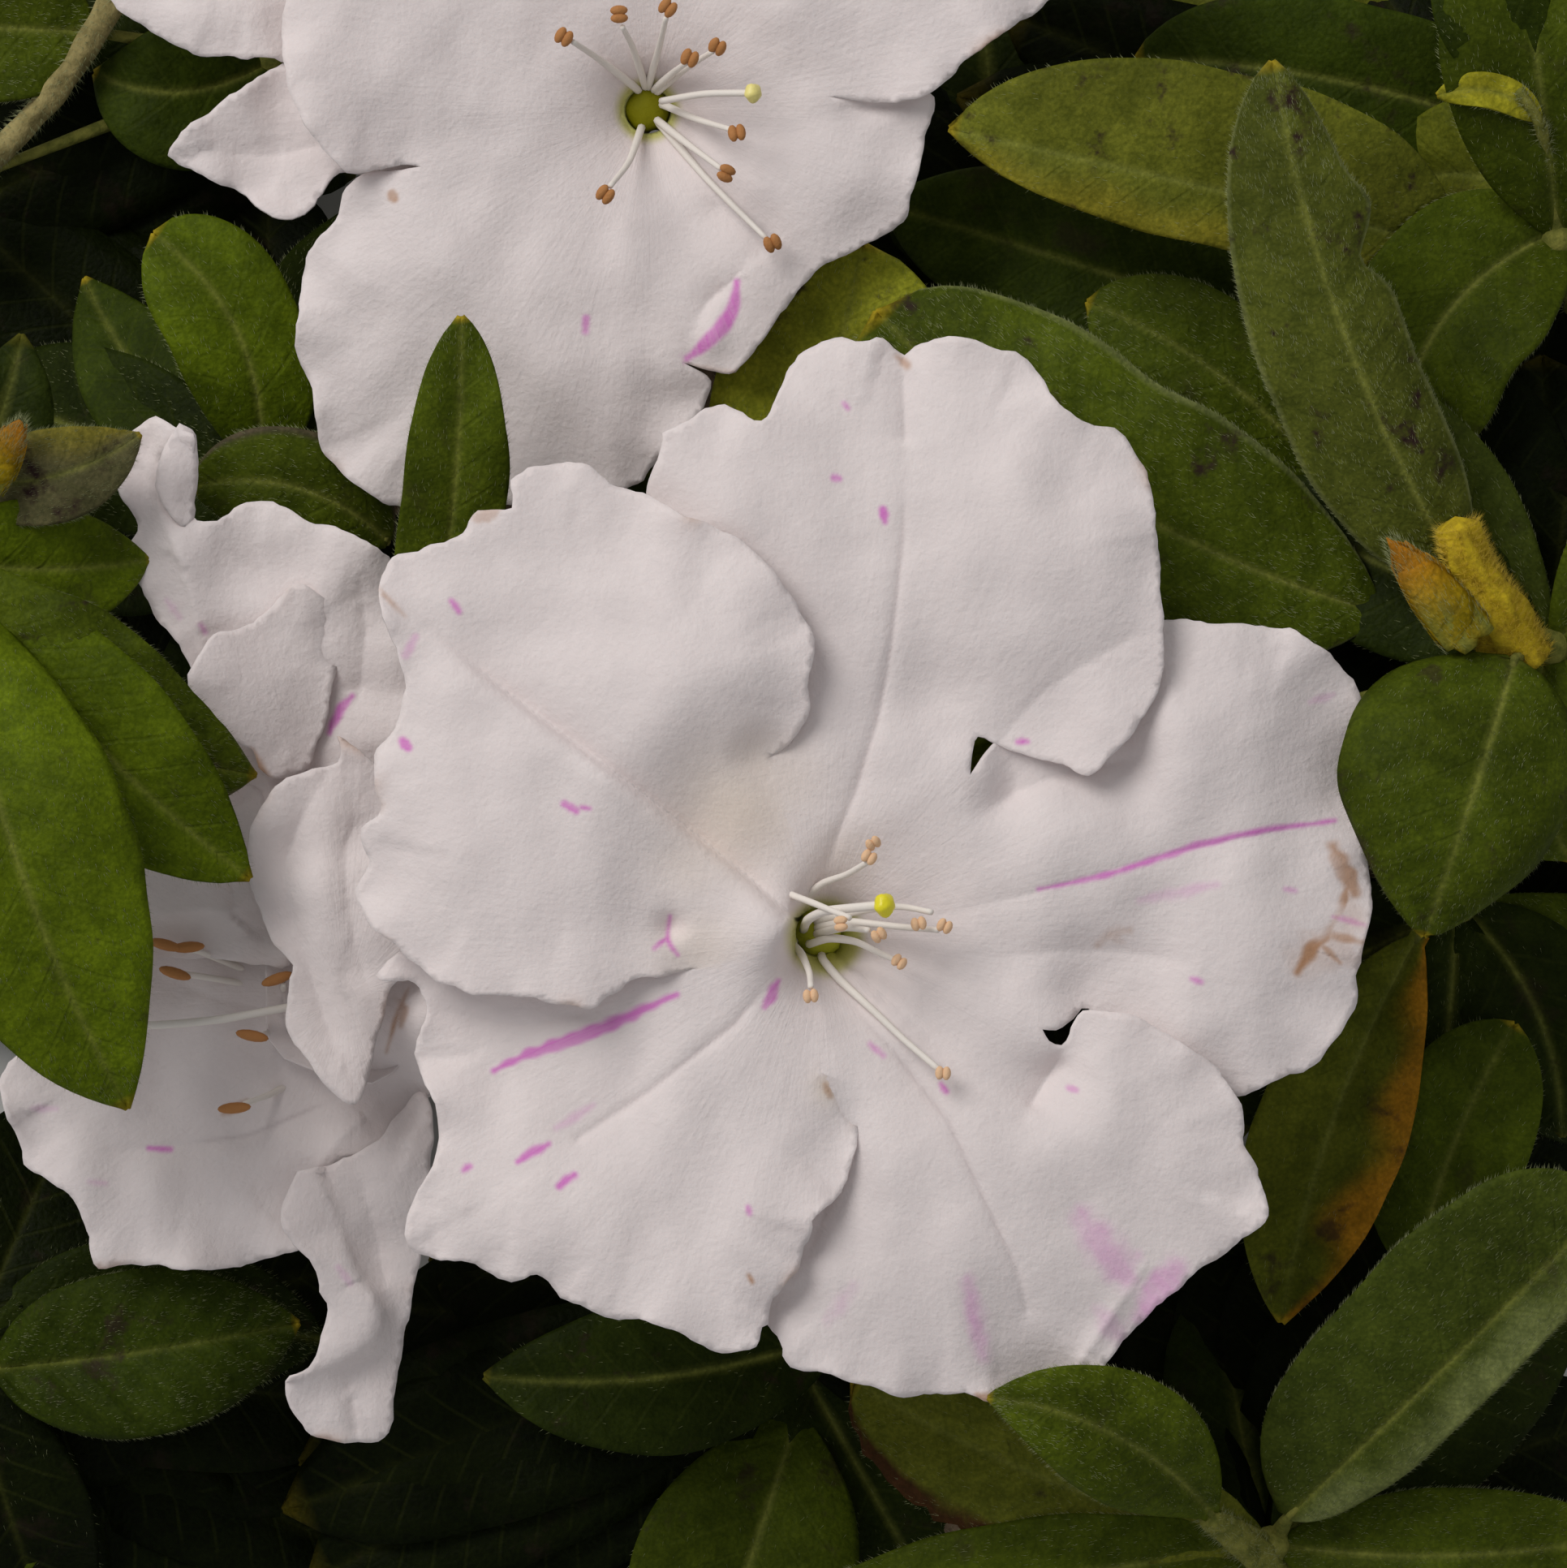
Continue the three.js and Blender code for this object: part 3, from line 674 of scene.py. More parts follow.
def leaf_part(shape, seed):
    """The blade of one leaf, with its colours"""
    rows, half_columns = (FILLER_ROWS, FILLER_COLUMNS) if shape["filler"] else (LEAF_ROWS, LEAF_COLUMNS)
    half_columns = np.array(half_columns)
    columns = np.concatenate([-half_columns[:0:-1], half_columns])
    t, s = np.meshgrid(np.linspace(0, 1, rows), columns, indexing="ij")
    t, s = t.ravel(), s.ravel()
    points, phase, across = leaf_points(shape, t, s, seed)
    colour = np.array(TONES[shape["tone"]]) * np.random.default_rng(seed).uniform(0.85, 1.15)
    light = smoothstep(undulation(np.stack([t * 30, s * 7], 1), 14, seed + 2), -1.2, 1.2)[:, None]
    colour = colour * (0.82 + 0.36 * light)
    if shape["edge"]:
        which, begin, end, edge_colour, strength = EDGES[shape["edge"]]
        outward = np.abs(s)
        if which:
            outward = s * which + 0.2 * (1 - begin) * undulation(points[:, :2], 8, seed + 3)
        colour = mixed(colour, edge_colour, smoothstep(outward, begin, end)[:, None] * strength)
    # On leaves of the darkest tone, painted shade, the pale midrib is painted dim as well
    painted_shade = shape["tone"] == "painted_shade"
    rib = bell(across, 0.3) * (1 - 0.6 * t) * min((0.15 if painted_shade else 0.8) * shape["rib"], 1)
    colour = mixed(colour, PALE_RIB, rib[:, None])
    # Leaves of the deep and darkest tones, and fillers, are painted in shade, so their yellow tip is only
    # faint
    shaded = shape["filler"] or shape["tone"] in ("painted_shade", "deep")
    colour = mixed(colour, TIP_YELLOW, smoothstep(t, 0.975, 0.997)[:, None] * (0.15 if shaded else 0.85))
    tint = np.hstack([colour, np.full((len(t), 1), shape["spots"])])
    veins = np.stack([phase, np.abs(s), t, np.zeros(len(t))], 1)
    return part(points, grid_faces(rows, len(columns)), {"tint": tint, "veins": veins})


def leaf_hairs(shape, seed):
    """White hairs on the margins and over the face of one leaf"""
    rng = np.random.default_rng(seed + 500)
    length = np.linalg.norm(shape["tip"] - shape["base"])
    rim = int(length * RIM_HAIRS * shape["hairy"])
    over = int(length * shape["wide"] * FACE_HAIRS * shape["hairy"])
    t = np.concatenate([rng.uniform(0.04, 0.99, rim), rng.uniform(0.03, 0.97, over)])
    s = np.concatenate([rng.choice([-1, 1], rim), rng.uniform(-0.95, 0.95, over)])
    count = len(t)
    roots = leaf_points(shape, t, s, seed)[0]
    _, tangent, side, face, _ = leaf_frame(shape, t)
    edge = (np.abs(s) >= 1)[:, None]
    sideways = np.where(edge, s[:, None] * 0.8, rng.normal(0, 0.25, (count, 1)))
    forward = np.where(edge, rng.uniform(0.5, 1.6, (count, 1)), 1.0)
    upward = np.where(edge, rng.normal(0.1, 0.3, (count, 1)), rng.uniform(0.08, 0.4, (count, 1)))
    directions = side * sideways + tangent * forward + face * upward
    lengths = np.where(edge[:, 0], rng.uniform(0.2, 0.55, count), rng.uniform(0.2, 0.6, count))
    roots = roots + face * np.where(edge, 0, LEAF_THICKNESS / 2 - 0.03)
    return needles(roots, directions, lengths)


# Petals


def mark(path, wide, strength=0.9, soft=0.22, taper=0.5, rough=0.22, is_brown=False):
    """A magenta mark: the pixels that it runs through, its width in pixels, how strong it is, over how many
    mm it fades, how far it narrows to its ends and how uneven its sides are"""
    return dict(path=path, wide=wide, strength=strength, soft=soft, taper=taper, rough=rough, brown=is_brown)


def brown(path, wide, **more):
    """The same in brown, as a petal withers"""
    return mark(path, wide, is_brown=True, **more)


def crease(path, depth, wide, ends=0, step=0, reach=8, open_end=False):
    """A crease along a path of pixels: its depth and width, how deep it still is at its ends, the step from
    its one side to the other and how far that reaches, mm. With open_end it doesn't fade at its last end."""
    return dict(path=path, depth=depth, wide=wide, ends=ends, step=step, reach=reach, open=open_end)


def lobe_edges(lobe, throat):
    """The closed outline of one lobe: its margin, and the two seams that run down to the throat"""
    start, end = traced([lobe["from"], lobe["to"]], lobe["z"])
    way = traced([lobe["from"], *lobe["margin"], lobe["to"]], lobe["z"])
    margin = crimped(smooth_path(way, PETAL_STEP), 5)
    first = seam(start, throat)
    last = seam(end, throat)
    bearings = [math.atan2(*(point - throat)[::-1]) for point in (first[-1], last[-1])]
    span = (bearings[0] - bearings[1]) % (2 * math.pi)
    steps = max(3, int(span / math.radians(12)))
    turns = bearings[1] + np.linspace(0, span, steps + 1)[1:-1]
    rim = throat + THROAT_RADIUS * np.stack([np.cos(turns), np.sin(turns)], 1)
    outline = np.vstack([margin, last[1:], rim, first[:0:-1]])
    return dict(outline=outline, margin=margin, seams=(first, last), bearing=bearings[0], span=span)


def crimped(margin, seed):
    """A margin with its fine, uneven crimping, which fades out at both ends"""
    along = np.arange(len(margin))[:, None] * PETAL_STEP
    tangent = unit(np.gradient(margin, axis=0))
    out = np.stack([tangent[:, 1], -tangent[:, 0]], 1)
    place_seed = seed + int(abs(margin[len(margin) // 2].sum()) * 10)
    fine = 0.07 * undulation(along, 3.2, place_seed) + 0.035 * undulation(along, 1.3, place_seed + 1)
    fade = smoothstep(along[:, 0], 0, 4) * smoothstep(along[::-1, 0], 0, 4)
    return margin + out * (fine * fade)[:, None]


def seam(point, throat):
    """Where two lobes are grown together, from the notch between them down to the throat"""
    away = point - throat
    reach = np.linalg.norm(away)
    inner = throat + away / reach * THROAT_RADIUS
    steps = max(2, int(round((reach - THROAT_RADIUS) / PETAL_STEP)))
    return point + (inner - point) * np.linspace(0, 1, steps + 1)[:, None]


def funnel_height(away, bloom):
    """Height of the open funnel over the plane of the mouth"""
    reach = np.hypot(away[:, 0], away[:, 1])
    facing = away @ np.array(bloom["gentle"]) / np.maximum(reach, 1e-6)
    spread = bloom["spread"] * (1 + bloom["skew"] * facing)
    depth = FUNNEL_SHARE * (bloom["mouth"] - bloom["base"])
    fall = -depth * np.exp(-(reach - THROAT_RADIUS) / spread)
    rise_and_droop = 0.10 * reach - 0.0032 * reach**2
    return fall + rise_and_droop


def mark_share(points, shape, z, seed):
    """How strongly a coloured mark colours each point, from 0 to 1"""
    path = traced(shape["path"], z)
    if len(path) > 2:
        path = smooth_path(path, 0.6)
    gap, along, _, length = path_distance(points, path)
    half = shape["wide"] * PIXEL / 2
    middle = np.sin(math.pi * np.clip(along / max(length, 1e-6), 0.03, 0.97))
    taper = np.clip(middle, 0.25 if length > 1.6 else 0.6, 1) ** shape["taper"]
    rough = 1 + shape["rough"] * undulation(points, 1.4, seed)
    return shape["strength"] * smoothstep((half * taper * rough - gap) / shape["soft"], -1, 1)


def clear_of(points, taken):
    """The points that aren't right beside one that is there already"""
    if not len(taken):
        return points
    gaps = [np.hypot(*(taken - point).T).min() for point in points]
    return points[np.array(gaps) > 0.2]


def petal_points(outline, lobe, throat, seed):
    """Points inside an outline, close together in its marks, along its creases and round its throat"""
    z = lobe["z"]
    narrow = [shape for shape in lobe.get("marks", ()) if shape["soft"] <= SOFT_MARK]
    fine = [np.zeros((0, 2))]
    for shape in narrow:
        path = traced(shape["path"], z)
        room = shape["wide"] * PIXEL / 2 + MARK_ROOM
        near = even_points(path.min(0) - room, path.max(0) + room, MARK_STEP)
        fine.append(near[path_distance(near, path)[0] < room])
    coarse = even_points(outline.min(0), outline.max(0), PETAL_STEP)
    coarse = coarse + np.random.default_rng(seed).uniform(-0.06, 0.06, coarse.shape)
    lines = [shape["path"] for shape in (*lobe.get("creases", ()), *lobe.get("shared", ()))]
    if "midrib" in lobe:
        lines.append(lobe["midrib"])
    for line in lines:
        path = smooth_path(traced(line, z), 1.0)
        near = even_points(path.min(0) - CREASE_ROOM, path.max(0) + CREASE_ROOM, CREASE_STEP)
        near = near[path_distance(near, path)[0] < CREASE_ROOM]
        fine.append(clear_of(near, np.vstack(fine)))
        coarse = coarse[path_distance(coarse, path)[0] > COARSE_GAP]
    if "shared" in lobe:
        coarse = coarse[np.hypot(*(coarse - throat).T) > THROAT_ROOM]
        near = even_points(throat - THROAT_ROOM, throat + THROAT_ROOM, CREASE_STEP)
        near = near[np.hypot(*(near - throat).T) < THROAT_ROOM]
        fine.append(clear_of(near, np.vstack(fine)))
    for shape in narrow:
        gap = path_distance(coarse, traced(shape["path"], z))[0]
        coarse = coarse[gap > shape["wide"] * PIXEL / 2 + MARK_ROOM]
    inner = np.vstack([coarse, *fine])
    inner = inner[inside(inner, outline)]
    gap = path_distance(inner, np.vstack([outline, outline[:1]]))[0]
    return inner[gap > PETAL_STEP * 0.4]


def triangles(outline, inner):
    """The points of an outline and inside it, and triangles between them that all turn one way"""
    flat = [Vector(point) for point in np.vstack([outline, inner])]
    corners, _, faces, *_ = delaunay_2d_cdt(flat, [], [list(range(len(outline)))], 1, 1e-5)
    flat = np.array([tuple(point) for point in corners])
    faces = np.array([face for face in faces if len(face) == 3])
    a, b, c = (flat[faces[:, corner]] for corner in range(3))
    turn = (b - a)[:, 0] * (c - a)[:, 1] - (b - a)[:, 1] * (c - a)[:, 0]
    return flat, np.where((turn > 0)[:, None], faces, faces[:, ::-1])


def petal_paint(flat, margin, lobe, throat, seed):
    """How magenta, brown and green each point of a petal is, and how much shade is painted along its midrib
    groove
    """
    z = lobe["z"]
    paint = np.zeros((len(flat), 4))
    for number, shape in enumerate(lobe.get("marks", ())):
        channel = 1 if shape["brown"] else 0
        paint[:, channel] = np.maximum(paint[:, channel], mark_share(flat, shape, z, seed + number))
    rim = path_distance(flat, margin)[0]
    worn = np.exp(-rim / 0.35) * smoothstep(undulation(flat, 7, seed + 77), 0.9, 1.6) * lobe.get("worn", 0.5)
    paint[:, 1] = np.maximum(paint[:, 1], worn)
    if "green" in lobe:
        shift, reach = lobe["green"]
        away = flat - throat
        from_green = np.hypot(away[:, 0] - shift[0], away[:, 1] - shift[1])
        paint[:, 2] = bell(from_green - 0.6, reach)
    if "midrib" in lobe:
        gap, along, _, length = path_distance(flat, traced(lobe["midrib"], z))
        fade = smoothstep(along / length, 0, 0.25) * (1 - smoothstep(along / length, 0.75, 1))
        # Painted shade along the midrib groove
        paint[:, 3] = 0.55 * fade * bell(gap, 0.17)
    return paint


def petal_part(outline, margin, height, lobe, throat, seed):
    """A petal or a lobe of one: triangles inside its outline, lifted to its height and painted"""
    flat, faces = triangles(outline, petal_points(outline, lobe, throat, seed))
    away = flat - throat
    reach = np.hypot(away[:, 0], away[:, 1])
    warm = np.zeros(len(flat))
    for px, py, radius, amount in lobe.get("warm", ()):
        middle = seen(px, py, lobe["z"])[:2]
        warm = np.maximum(warm, amount * bell(np.linalg.norm(flat - middle, axis=1), radius))
    rays = np.column_stack([away / np.maximum(reach, 0.3)[:, None], reach, warm])
    paint = petal_paint(flat, margin, lobe, throat, seed)
    return part(np.column_stack([flat, height(flat)]), faces, {"paint": paint, "rays": rays})


def relief(points, shape, z):
    """The dips, swells and creases that are named for a petal, mm"""
    total = np.zeros(len(points))
    for px, py, radius, amount in shape.get("swells", ()):
        middle = seen(px, py, z)[:2]
        total += amount * bell(np.linalg.norm(points - middle, axis=1), radius)
    for line in shape.get("creases", ()):
        path = smooth_path(traced(line["path"], z), 1.0)
        gap, along, side, length = path_distance(points, path)
        ends = smoothstep(along / length, -0.02, 0.3)
        ends = ends * (1 if line["open"] else 1 - smoothstep(along / length, 0.8, 1.02))
        ends = np.maximum(ends, line["ends"])
        near = np.exp(-gap / line["wide"])
        total += line["depth"] * ends * near
        total += line["step"] * ends * side * (1 - near) * np.exp(-gap / line["reach"])
    return total


def ruffled(points, margin, seed, amount):
    """Waves of a petal's margin, which die away inwards"""
    gap, along, _, _ = path_distance(points, margin)
    waves = undulation(np.column_stack([along, gap * 0.4]), 6.5, seed)
    fine = undulation(np.column_stack([along, gap * 0.6]), 2.6, seed + 7)
    return amount * (waves * np.exp(-gap / 2.4) + 0.16 * fine * np.exp(-gap / 1.2))


def lobe_height(points, bloom, lobe, edges, throat, number, seed):
    """Heights over one lobe of an open bloom: the funnel, its own lift, waves and pleats, and its relief"""
    z = bloom["mouth"]
    own_seed = seed + number * 10
    away = points - throat
    reach = np.hypot(away[:, 0], away[:, 1])
    bearing = np.arctan2(away[:, 1], away[:, 0])
    # How far round the lobe each point lies, from its first seam to its last
    turned = (edges["bearing"] - bearing + math.pi / 2) % (2 * math.pi)
    share = np.clip((turned - math.pi / 2) / edges["span"], 0, 1)
    first, last = edges["seams"]
    # The lobe is free beyond its notches, and has a shape of its own away from its seams
    reaches = [np.linalg.norm(path[0] - throat) for path in (first, last)]
    notch = reaches[0] + (reaches[1] - reaches[0]) * share
    beyond = smoothstep(reach - notch, 0, 9)
    low, high = lobe["lift"]
    lift = low + (high - low) * smoothstep(share)
    grown = np.minimum(path_distance(points, first)[0], path_distance(points, last)[0])
    own = smoothstep(grown, 0.2, 3.5)
    swell = 0.55 * undulation(points, 19, own_seed) + 0.18 * undulation(points, 8, own_seed + 1)
    swell += 0.05 * undulation(points, 4, own_seed + 3)
    pleats = 0.04 * np.sin(lobe["pleats"] * bearing + number)
    pleats = pleats * (reach / 38) ** 1.5 * (1 + 0.6 * undulation(points, 11, seed + number))
    total = lift * beyond + own * smoothstep(reach, 3, 12) * (swell * 0.6 + pleats)
    total += ruffled(points, edges["margin"], own_seed + 2, lobe.get("ruffle", 0.5)) * beyond
    total += relief(points, lobe, z) * own
    if "midrib" in lobe:
        gap, along, _, length = path_distance(points, traced(lobe["midrib"], z))
        inner = smoothstep(along / length, 0, 0.3)
        total -= own * inner * (0.18 * bell(gap, 0.35) + 0.45 * np.exp(-gap / 3))
    shared = 0.15 * undulation(points, 7, seed + 99) * smoothstep(reach, 4, 10)
    return z + funnel_height(away, bloom) + total + (shared + relief(points, bloom, z))


def lobed_bloom(bloom, seed):
    """An open bloom seen from above: its lobes, grown together below their notches, and its tube"""
    z = bloom["mouth"]
    throat = seen(*bloom["throat"], z)[:2]
    parts = []
    for number, lobe in enumerate(bloom["lobes"]):
        lobe = {"z": z, "shared": bloom.get("creases", ()), "green": bloom["green"], **lobe}
        edges = lobe_edges(lobe, throat)
        height = partial(
            lobe_height, bloom=bloom, lobe=lobe, edges=edges, throat=throat, number=number, seed=seed
        )
        parts.append(petal_part(edges["outline"], edges["margin"], height, lobe, throat, seed + number))
    rim = np.vstack([shape["points"] for shape in parts])
    rim = rim[np.hypot(*(rim[:, :2] - throat).T) < THROAT_RADIUS + 1e-3]
    rim = rim[np.argsort(np.arctan2(rim[:, 1] - throat[1], rim[:, 0] - throat[0]))]
    rim = rim[np.linalg.norm(rim - np.roll(rim, 1, axis=0), axis=1) > 0.01]
    return welded(joined([*parts, bloom_tube(rim, throat, bloom)]))


def bloom_tube(rim, throat, bloom):
    """The closed tube under the open funnel, from the ring of points at its top to its foot"""
    top = rim[:, 2].mean()
    foot = spot(*bloom["foot"])
    levels = np.linspace(0, 1, 16)
    rows = [rim]
    for share in levels[1:]:
        middle = np.array([*throat, top]) * (1 - share) + foot * share
        radius = 1 - 0.12 * math.sin(math.pi * share) if share < 0.999 else 0.45
        ring = (rim - [*throat, top]) * radius
        ring[:, 2] *= 1 - share
        rows.append(middle + ring)
    points = np.vstack(rows)
    paint = np.zeros((len(points), 4))
    paint[:, 2] = 0.3 + 0.42 * (1 - smoothstep(np.repeat(levels, len(rim)), 0, 0.15))
    away = points[:, :2] - throat
    rays = np.column_stack([unit(away), np.repeat(levels, len(rim)), np.zeros(len(points))])
    faces = grid_faces(len(levels), len(rim), closed=True)[:, ::-1]
    return part(points, faces, {"paint": paint, "rays": rays})


def sheet_height(points, shape, margin, seed):
    """Heights over a loose petal: its tilt, swells and waves, and its relief"""
    tilt = (points - margin[:-1].mean(0)) @ np.array(shape["tilt"])
    swell = 0.5 * undulation(points, 15, seed) + 0.2 * undulation(points, 6, seed + 1)
    edge = ruffled(points, margin, seed + 2, shape["ruffle"])
    return shape["z"] + tilt + swell + edge + relief(points, shape, shape["z"])


def loose_petal(shape, throat, seed):
    """One petal as a sheet of its own, crumpled or half hidden, over its own outline"""
    way = traced([*shape["outline"], shape["outline"][0]], shape["z"])
    margin = crimped(smooth_path(way, PETAL_STEP), 6)
    height = partial(sheet_height, shape=shape, margin=margin, seed=seed)
    return petal_part(margin[:-1], margin, height, shape, throat, seed)


# The blooms. A lobe's margin runs from one notch round to the next, as pixels of the photograph. lift is
# how far it rises beyond its two notches, mm. A swell is a pixel, a radius and a height, mm. A warm place is
# a pixel, a radius and a share. pleats counts the fine folds that a whole round would have, ruffle is how
# far its margin waves, mm, and worn is how brown its rim is.

# Notches between the lobes of the main bloom, on the photograph
NOTCH_LEFT = (860, 1192)
NOTCH_UPPER = (945, 935)
NOTCH_RIGHT = (1195, 955)
NOTCH_LOWER_RIGHT = (1284, 1268)
NOTCH_LOWER = (1012, 1322)

MAIN_LEFT_LOBE = {
    "from": NOTCH_LEFT, "to": NOTCH_UPPER, "lift": (1.6, 1.7), "pleats": 18, "ruffle": 0.55,
    "margin": [
        (816, 1202), (777, 1208), (754, 1225), (731, 1241), (690, 1236), (643, 1227), (575, 1222),
        (524, 1197), (487, 1163), (455, 1137), (439, 1096), (458, 1063), (447, 1045), (449, 1018),
        (471, 1000), (463, 969), (465, 925), (485, 902), (500, 853), (492, 809), (467, 737), (483, 688),
        (521, 677), (572, 656), (588, 630), (630, 627), (630, 594), (657, 576), (721, 572), (757, 599),
        (795, 609), (842, 635), (905, 661), (954, 706), (989, 760), (1005, 795), (996, 831), (998, 871),
        (985, 902), (962, 925),
    ],
    "swells": [
        (860, 860, 9, 1.8), (640, 1080, 8, 1.0), (827, 1142, 1.1, -1.0), (690, 690, 6, -0.5),
        (850, 950, 4, -0.9), (470, 1060, 4, -1.0),
    ],
    "warm": [(905, 1000, 4.5, 0.5), (930, 950, 3, 0.35), (860, 1170, 3, 0.3), (850, 1060, 3, 0.25)],
    "marks": [
        mark([(557, 741), (566, 753)], 9), mark([(497, 914), (504, 921)], 13),
        mark([(697, 991), (711, 999)], 12), mark([(718, 995), (727, 996)], 7),
        mark([(512, 785), (500, 808)], 12, strength=0.35),
        mark([(826, 1128), (822, 1158), (835, 1176)], 7), mark([(822, 1156), (806, 1168)], 6),
        brown([(590, 636), (606, 630)], 24, strength=0.4),
        brown([(468, 728), (500, 760)], 7, strength=0.6),
    ],
}

MAIN_TOP_LOBE = {
    "from": NOTCH_UPPER, "to": NOTCH_RIGHT, "lift": (-0.4, 0.9), "pleats": 22, "ruffle": 0.4,
    "margin": [
        (900, 860), (840, 760), (800, 660), (797, 605), (817, 545), (817, 534), (840, 522), (869, 505),
        (896, 498), (927, 518), (945, 514), (967, 465), (985, 438), (1022, 417), (1057, 420), (1084, 416),
        (1104, 430), (1114, 437), (1125, 430), (1137, 422), (1176, 414), (1233, 430), (1267, 443),
        (1287, 472), (1306, 499), (1344, 524), (1371, 527), (1398, 556), (1417, 598), (1426, 667),
        (1430, 724), (1434, 813), (1424, 858), (1394, 904), (1344, 954), (1310, 943), (1267, 931),
        (1222, 916), (1202, 908),
    ],
    "midrib": [(1114, 552), (1112, 667), (1097, 801), (1080, 889), (1053, 977), (1010, 1080)],
    "creases": [
        crease([(1112, 440), (1116, 560)], -0.7, 1.2, ends=0.4),
        crease([(1190, 960), (1290, 850), (1420, 770)], -0.8, 3),
    ],
    "swells": [
        (1260, 640, 8, 1.0), (920, 620, 6, 0.8), (1300, 900, 3.5, -0.8), (1170, 850, 4, -0.9),
        (1400, 930, 3, -0.6),
    ],
    "warm": [(960, 960, 3.2, 0.25), (1040, 1060, 2.6, 0.2)],
    "marks": [
        mark([(1027, 589), (1034, 590)], 9, strength=0.85), mark([(1088, 628), (1091, 643)], 11),
        mark([(1040, 497), (1045, 503)], 7, strength=0.7), mark([(1254, 915), (1266, 914)], 8),
        brown([(1106, 440), (1118, 450)], 12, strength=0.6),
    ],
}

MAIN_RIGHT_LOBE = {
    "from": NOTCH_RIGHT, "to": NOTCH_LOWER_RIGHT, "lift": (-1.1, -0.8), "pleats": 20, "ruffle": 0.5,
    "margin": [
        (1222, 918), (1300, 850), (1380, 790), (1432, 764), (1487, 767), (1551, 771), (1592, 776),
        (1634, 801), (1673, 845), (1688, 900), (1680, 960), (1677, 1020), (1689, 1080), (1691, 1127),
        (1680, 1168), (1673, 1205), (1670, 1246), (1643, 1283), (1624, 1311), (1583, 1327), (1523, 1350),
        (1440, 1325), (1380, 1285), (1345, 1246), (1335, 1242), (1321, 1256), (1303, 1269),
    ],
    "creases": [
        crease([(1100, 1140), (1250, 1105), (1450, 1050), (1650, 1010)], -0.35, 1.2),
        crease([(1190, 1010), (1290, 960), (1420, 930)], -0.9, 2.2),
        crease([(1200, 1180), (1360, 1170), (1480, 1190)], -0.8, 3),
    ],
    "swells": [
        (1480, 900, 3.5, 0.9), (1560, 960, 4, 0.5), (1660, 960, 5, -2.0), (1365, 1225, 4.5, -1.5),
        (1500, 1230, 6, 0.8), (1640, 850, 4, -1.0), (1230, 960, 2.5, -1.2), (1300, 1060, 5, 0.7),
    ],
    "marks": [
        mark([(1280, 1095), (1330, 1085), (1367, 1077), (1459, 1047), (1551, 1024), (1646, 1012)], 9,
            taper=0.4),
        mark([(1404, 1109), (1500, 1090)], 14, strength=0.28, soft=0.35),
        mark([(1469, 1206), (1480, 1210)], 8, strength=0.7),
        mark([(1584, 1096), (1596, 1098)], 7, strength=0.6),
        mark([(1643, 1130), (1682, 1140)], 7, strength=0.6),
        mark([(1615, 865), (1645, 855)], 10, strength=0.3),
        brown([(1598, 1198), (1618, 1168), (1644, 1136)], 20, soft=0.35),
        brown([(1608, 1146), (1640, 1152), (1682, 1162)], 13, strength=0.7, soft=0.3),
        brown([(1644, 1136), (1656, 1110), (1662, 1088)], 12, strength=0.8),
        brown([(1626, 1162), (1652, 1186)], 9, strength=0.7),
        brown([(1644, 1044), (1656, 1070), (1670, 1102)], 26, strength=0.75, soft=0.35),
        brown([(1610, 1180), (1660, 1130)], 90, strength=0.22, soft=0.9),
        brown([(1353, 1162), (1372, 1150), (1392, 1146)], 15, soft=0.3),
        brown([(1368, 1156), (1384, 1160)], 8),
    ],
}

MAIN_LOWER_RIGHT_LOBE = {
    "from": NOTCH_LOWER_RIGHT, "to": NOTCH_LOWER, "lift": (0.8, -0.7), "pleats": 22, "ruffle": 0.45,
    "margin": [
        (1294, 1284), (1310, 1287), (1320, 1265), (1335, 1246), (1373, 1246), (1405, 1255), (1454, 1284),
        (1498, 1315), (1525, 1355), (1534, 1387), (1532, 1413), (1547, 1436), (1561, 1498), (1521, 1534),
        (1480, 1563), (1431, 1605), (1382, 1655), (1349, 1699), (1300, 1722), (1260, 1716), (1217, 1728),
        (1186, 1715), (1132, 1721), (1088, 1715), (1030, 1695), (980, 1686), (965, 1672), (963, 1655),
        (945, 1632), (925, 1600), (930, 1500), (960, 1400), (995, 1340),
    ],
    "midrib": [(1030, 1221), (1101, 1297), (1168, 1382), (1213, 1480), (1253, 1565), (1266, 1614)],
    "creases": [
        crease([(1315, 1284), (1292, 1325), (1262, 1375)], -1.2, 1.6, ends=0.4),
        crease([(1409, 1560), (1360, 1635), (1318, 1700)], 0.5, 0.7, ends=0.5),
        crease([(1010, 1340), (1030, 1440), (990, 1560)], -0.8, 2.5),
    ],
    "swells": [
        (1290, 1330, 3.5, -1.3), (1420, 1400, 6, 0.8), (1130, 1560, 7, 0.8), (1290, 1712, 3.5, -1.6),
        (1225, 1725, 1.2, 0.9), (1480, 1480, 4, 0.4),
    ],
    "marks": [
        mark([(1332, 1498), (1360, 1535), (1385, 1570)], 40, strength=0.42, soft=0.9),
        mark([(1372, 1545), (1388, 1575)], 46, strength=0.4, soft=0.8),
        mark([(1449, 1561), (1430, 1590), (1408, 1623)], 44, strength=0.48, soft=0.6),
        mark([(1192, 1575), (1203, 1630), (1212, 1672)], 22, strength=0.44, soft=0.5),
        mark([(1355, 1615), (1385, 1655)], 26, strength=0.26, soft=0.6),
        mark([(1020, 1627), (1052, 1585)], 16, strength=0.2, soft=0.5),
        mark([(1072, 1287), (1088, 1301)], 8, strength=0.6), mark([(1160, 1336), (1166, 1344)], 9),
        mark([(1318, 1341), (1326, 1343)], 8, strength=0.6),
        brown([(1205, 1722), (1225, 1724)], 14, strength=0.7),
    ],
}

